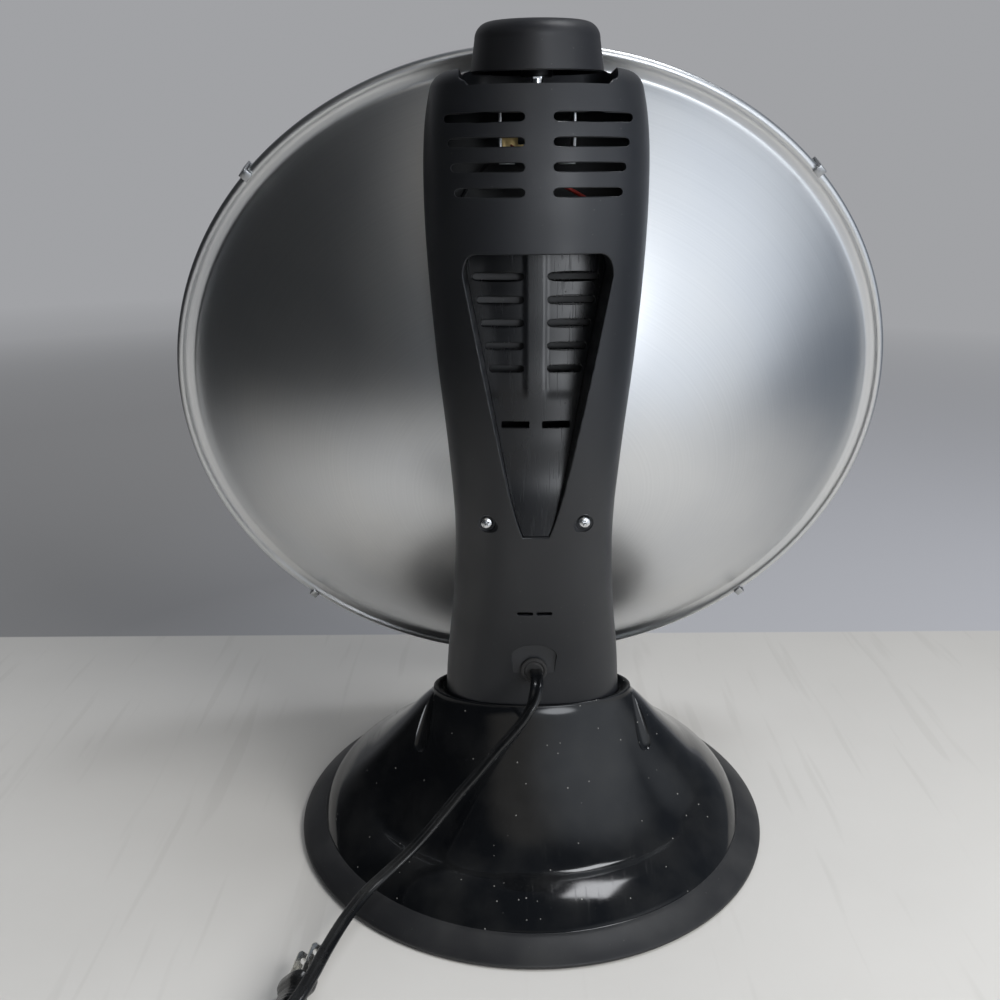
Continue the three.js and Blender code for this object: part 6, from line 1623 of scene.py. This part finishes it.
def make_element():
    heights = [0, 0.3, *np.linspace(1, 5, 4), 5.3, 5.6, 5.85, 6.0, 6.5, 7.0, 7.9, 8.0,
               *np.linspace(9, CORE_LENGTH - 2, 110), CORE_LENGTH - 1, CORE_LENGTH]
    rings = []
    for height in heights:
        radius = core_radius(height) - (0.3 if height == 0 else 0)
        ring = []
        for side in range(144):
            angle = TAU * side / 144
            reach = radius
            if height > 7.9:
                turns = (height - 14) / 7.8 - angle / TAU
                near = abs(turns - round(turns)) * 7.8
                if -0.4 < turns < 10.4 and near < 2.0:
                    reach -= 0.55 * (1 - (near / 2.0) ** 2)
                away = (angle + TAU / 12) % (TAU / 6) - TAU / 12
                spread = 15.4 * math.sin(away)
                if abs(spread) < 3.2:
                    reach = min(reach, 15.4 * math.cos(away) - math.sqrt(3.2**2 - spread**2))
            ring.append(on_dish((reach * math.cos(angle), reach * math.sin(angle), CORE_LOW + height)))
        rings.append(ring)
    core = mark_sharp(cleaned(loft_piece("ceramic_cone", rings, [CERAMIC]), 0), 30)
    finish_piece(core, "heater", ["element_core"], "ceramic")

    small, wire, pitch = 1.9, 0.33, 1.75
    turns, around_count, sides = 10, 11, 6
    mean_radius = 16.9
    spins = turns * TAU * mean_radius / pitch
    steps = int(spins * around_count)
    centres = []
    for step in range(steps + 1):
        turn = turns * step / steps
        height = 14 + turn * 7.8
        radius = core_radius(height) + 0.15 + small + wire
        angle, spin = turn * TAU, TAU * spins * step / steps
        reach = radius + small * math.cos(spin)
        centres.append((reach * math.cos(angle), reach * math.sin(angle),
                        CORE_LOW + height + small * math.sin(spin)))
    coil = round_wire("heating_spiral", [on_dish(c) for c in centres], wire, sides, HEATING_WIRE)
    finish_piece(coil, "heater", ["element_coil"], "heating_wire")

    low = CORE_LOW + CORE_LENGTH + 0.3
    rings = []
    for height, scale in ((0, 0.94), (0.3, 1), (2.1, 1), (2.4, 0.94)):
        ring = []
        for side in range(48):
            angle = TAU * side / 48
            away = (angle % (TAU / 6)) - TAU / 12
            flat = 6 * math.cos(math.pi / 6) / math.cos(away)
            ring.append(on_dish((min(flat, 5.85) * scale * math.cos(angle),
                                 min(flat, 5.85) * scale * math.sin(angle), low + height)))
        rings.append(ring)
    for height, radius in ((2.5, 3.1), (3.6, 2.6), (4.0, 1.6), (4.05, 0.1)):
        rings.append([on_dish((radius * math.cos(TAU * s / 48), radius * math.sin(TAU * s / 48),
                               low + height)) for s in range(48)])
    nut = mark_sharp(cleaned(loft_piece("tip_nut", rings, [STEEL]), 0), 25)
    finish_piece(nut, "heater", ["element_tip_nut"], "plated_steel")


make_element()


# ------------------------------------------------------------------ bushing, plug and tie

def make_bushing():
    profile = [(0.05, -22), (4.2, -22), (4.6, -21.5), (5.4, -3.2), (5.4, 0.3), (7.0, 0.3), (7.35, 0.6),
               (7.35, 1.3), (7.2, 1.7), (6.7, 2.05), (5.9, 2.1)]
    profile += [(5.6, 1.75), (5.2, 1.7), (4.95, 2.1), (4.6, 2.35), (4.2, 2.4), (0.05, 2.4)]
    place = upright(0, RELIEF_FACE, RELIEF_Z, -90)
    bushing = cleaned(lathe_piece("cord_bushing", profile, 72, [RUBBER],
                                  lambda p: tuple(place @ Vector(p))), 0)
    finish_piece(mark_sharp(bushing, 40), "heater", ["strain_relief_bushing"], "foot_rubber")


make_bushing()

PLUG_ACROSS = Vector((-0.55, 0.48, 0.69))
PLUG_ACROSS = (PLUG_ACROSS - PLUG_FACING * PLUG_ACROSS.dot(PLUG_FACING)).normalized()
PLUG_THROUGH = PLUG_FACING.cross(PLUG_ACROSS)


def on_plug(p):
    return tuple(PLUG_FACE + PLUG_ACROSS * p[0] + PLUG_THROUGH * p[1] + PLUG_FACING * p[2])


def make_plug():
    """A moulded body with grip ribs, narrowing to the cord, and its two flat blades."""
    half_span = smooth_line([(-27, 4.6), (-24.5, 4.9), (-16.7, 6.5), (-13.5, 10.5), (-8, 9.9),
                             (-4.3, 11.5), (-1, 12), (0, 12)])
    half_depth = smooth_line([(-27, 3.4), (-24.5, 3.6), (-16.7, 4.8), (-13.5, 5.9), (-8, 5.4), (-4.3, 7),
                              (-1, 7), (0, 7)])
    rings = []
    for height in np.concatenate([[-27, -26.9], np.linspace(-26.5, -1.2, 92), [-0.8, -0.45, -0.2, -0.05, 0]]):
        ease = 1.0 - math.sqrt(max(0.0, 1 - min(1.0, (height + 1.2) / 1.2) ** 2)) if height > -1.2 else 0.0
        if height < -26.6:
            ease = 0.3
        rib = 0.0
        if -13.5 < height < -4.5:
            rib = 0.28 * (0.5 + 0.5 * math.cos((height + 9) * TAU / 1.8))
        elif -26 < height < -17:
            rib = 0.35 * (0.5 + 0.5 * math.cos((height + 21.5) * TAU / 2.2))
        ring = []
        for side in range(72):
            angle = TAU * side / 72
            c, s = math.cos(angle), math.sin(angle)
            grip = rib * (abs(c) ** 0.5 if height > -14 else 1.0)
            x = math.copysign(abs(c) ** 0.6, c) * (half_span(height) - ease - grip)
            y = math.copysign(abs(s) ** 0.6, s) * (half_depth(height) - ease - rib * 0.6)
            ring.append(on_plug((x, y, height)))
        rings.append(ring)
    body = cleaned(loft_piece("plug_moulding", rings, [CORD]), 0)
    mark_sharp(body, 55)
    finish_piece(body, "heater", ["plug_body"], "cord_black")
    return [body, make_blade("plug_blade_wide", 7.9, -6.35), make_blade("plug_blade_narrow", 6.35, 6.35)]


def make_blade(name, width, shift):
    """A blade with eased edges, chamfered corners and a round hole."""
    half, length = width / 2, 17.0
    outline = [(-half, 0.3), (half, 0.3), (half, length - 1.5), (half - 1.2, length),
               (-half + 1.2, length), (-half, length - 1.5)]
    rings = []
    for across, inset in ((-0.75, 0.22), (-0.53, 0.0), (0.53, 0.0), (0.75, 0.22)):
        ring = []
        for y, z in outline:
            ring.append((across, y * (1 - inset / half), z if z < 1 else z - inset))
        rings.append(ring)
    blade = cleaned(loft_piece(name, rings, []), 0)
    hole = post("hole", 1.6, (-3, 0, length - 4.5), (3, 0, length - 4.5), 32)
    cut(blade, hole)
    for vertex in blade.data.vertices:
        p = vertex.co / MM
        vertex.co = Vector(on_plug((p.x + shift, p.y, p.z))) * MM
    blade.data.materials.clear()
    blade.data.materials.append(BLADE_METAL)
    blade.name = name + "_dressed"
    cleaned(blade, 0)
    finish_piece(mark_sharp(blade, 30), "heater", [name], "plug_blades")
    return blade


cord_ends = make_plug()


# ------------------------------------------------------------------ small pieces seen through the slots

def make_small_pieces():
    for node, finish, slot, bevel in (
        ("thermostat_frame", STEEL, "plated_steel", 0.25), ("thermostat_nut", STEEL, "plated_steel", 0.25),
        ("thermostat_bush", BRASS, "contact_brass", 0.2),
        ("thermostat_contacts", BRASS, "contact_brass", 0.12),
        ("socket_terminal_left", BRASS, "contact_brass", 0.12),
        ("socket_terminal_right", BRASS, "contact_brass", 0.12),
        ("sensor_bracket", STEEL, "plated_steel", 0.2), ("sensor_pin", STEEL, "plated_steel", 0.12),
        ("reed_switch", CERAMIC, "ceramic", 0.08), ("buzzer", INNER_BLACK, "black_plastic", 0.25),
    ):
        finish_piece(from_solid(node, finish, bevel=bevel), "heater", [node], slot)
    finish_piece(from_solid("tip_pendulum", BRASS, bevel=0.3), "pendulum", ["tip_pendulum"], "contact_brass")
    tie = from_solid("cord_tie", RUBBER, bevel=0.12)
    finish_piece(tie, "heater", ["cord_tie"], "foot_rubber")
    for node, finish, slot in (("wire_neutral", LEAD_WHITE, "lead_white"),
                               ("wire_supply", INNER_BLACK, "black_plastic"),
                               ("wire_switched", LEAD_RED, "lead_red"),
                               ("wire_sensor", LEAD_RED, "lead_red")):
        finish_piece(from_solid(node, finish, rounding=2), "heater", [node], slot)
    return tie


cord_ends.append(make_small_pieces())

tuple(c * MM for c in route[0])
[tuple(c * MM for c in p) for p in route]
print(f"cord length {cord_length:.3f} m")
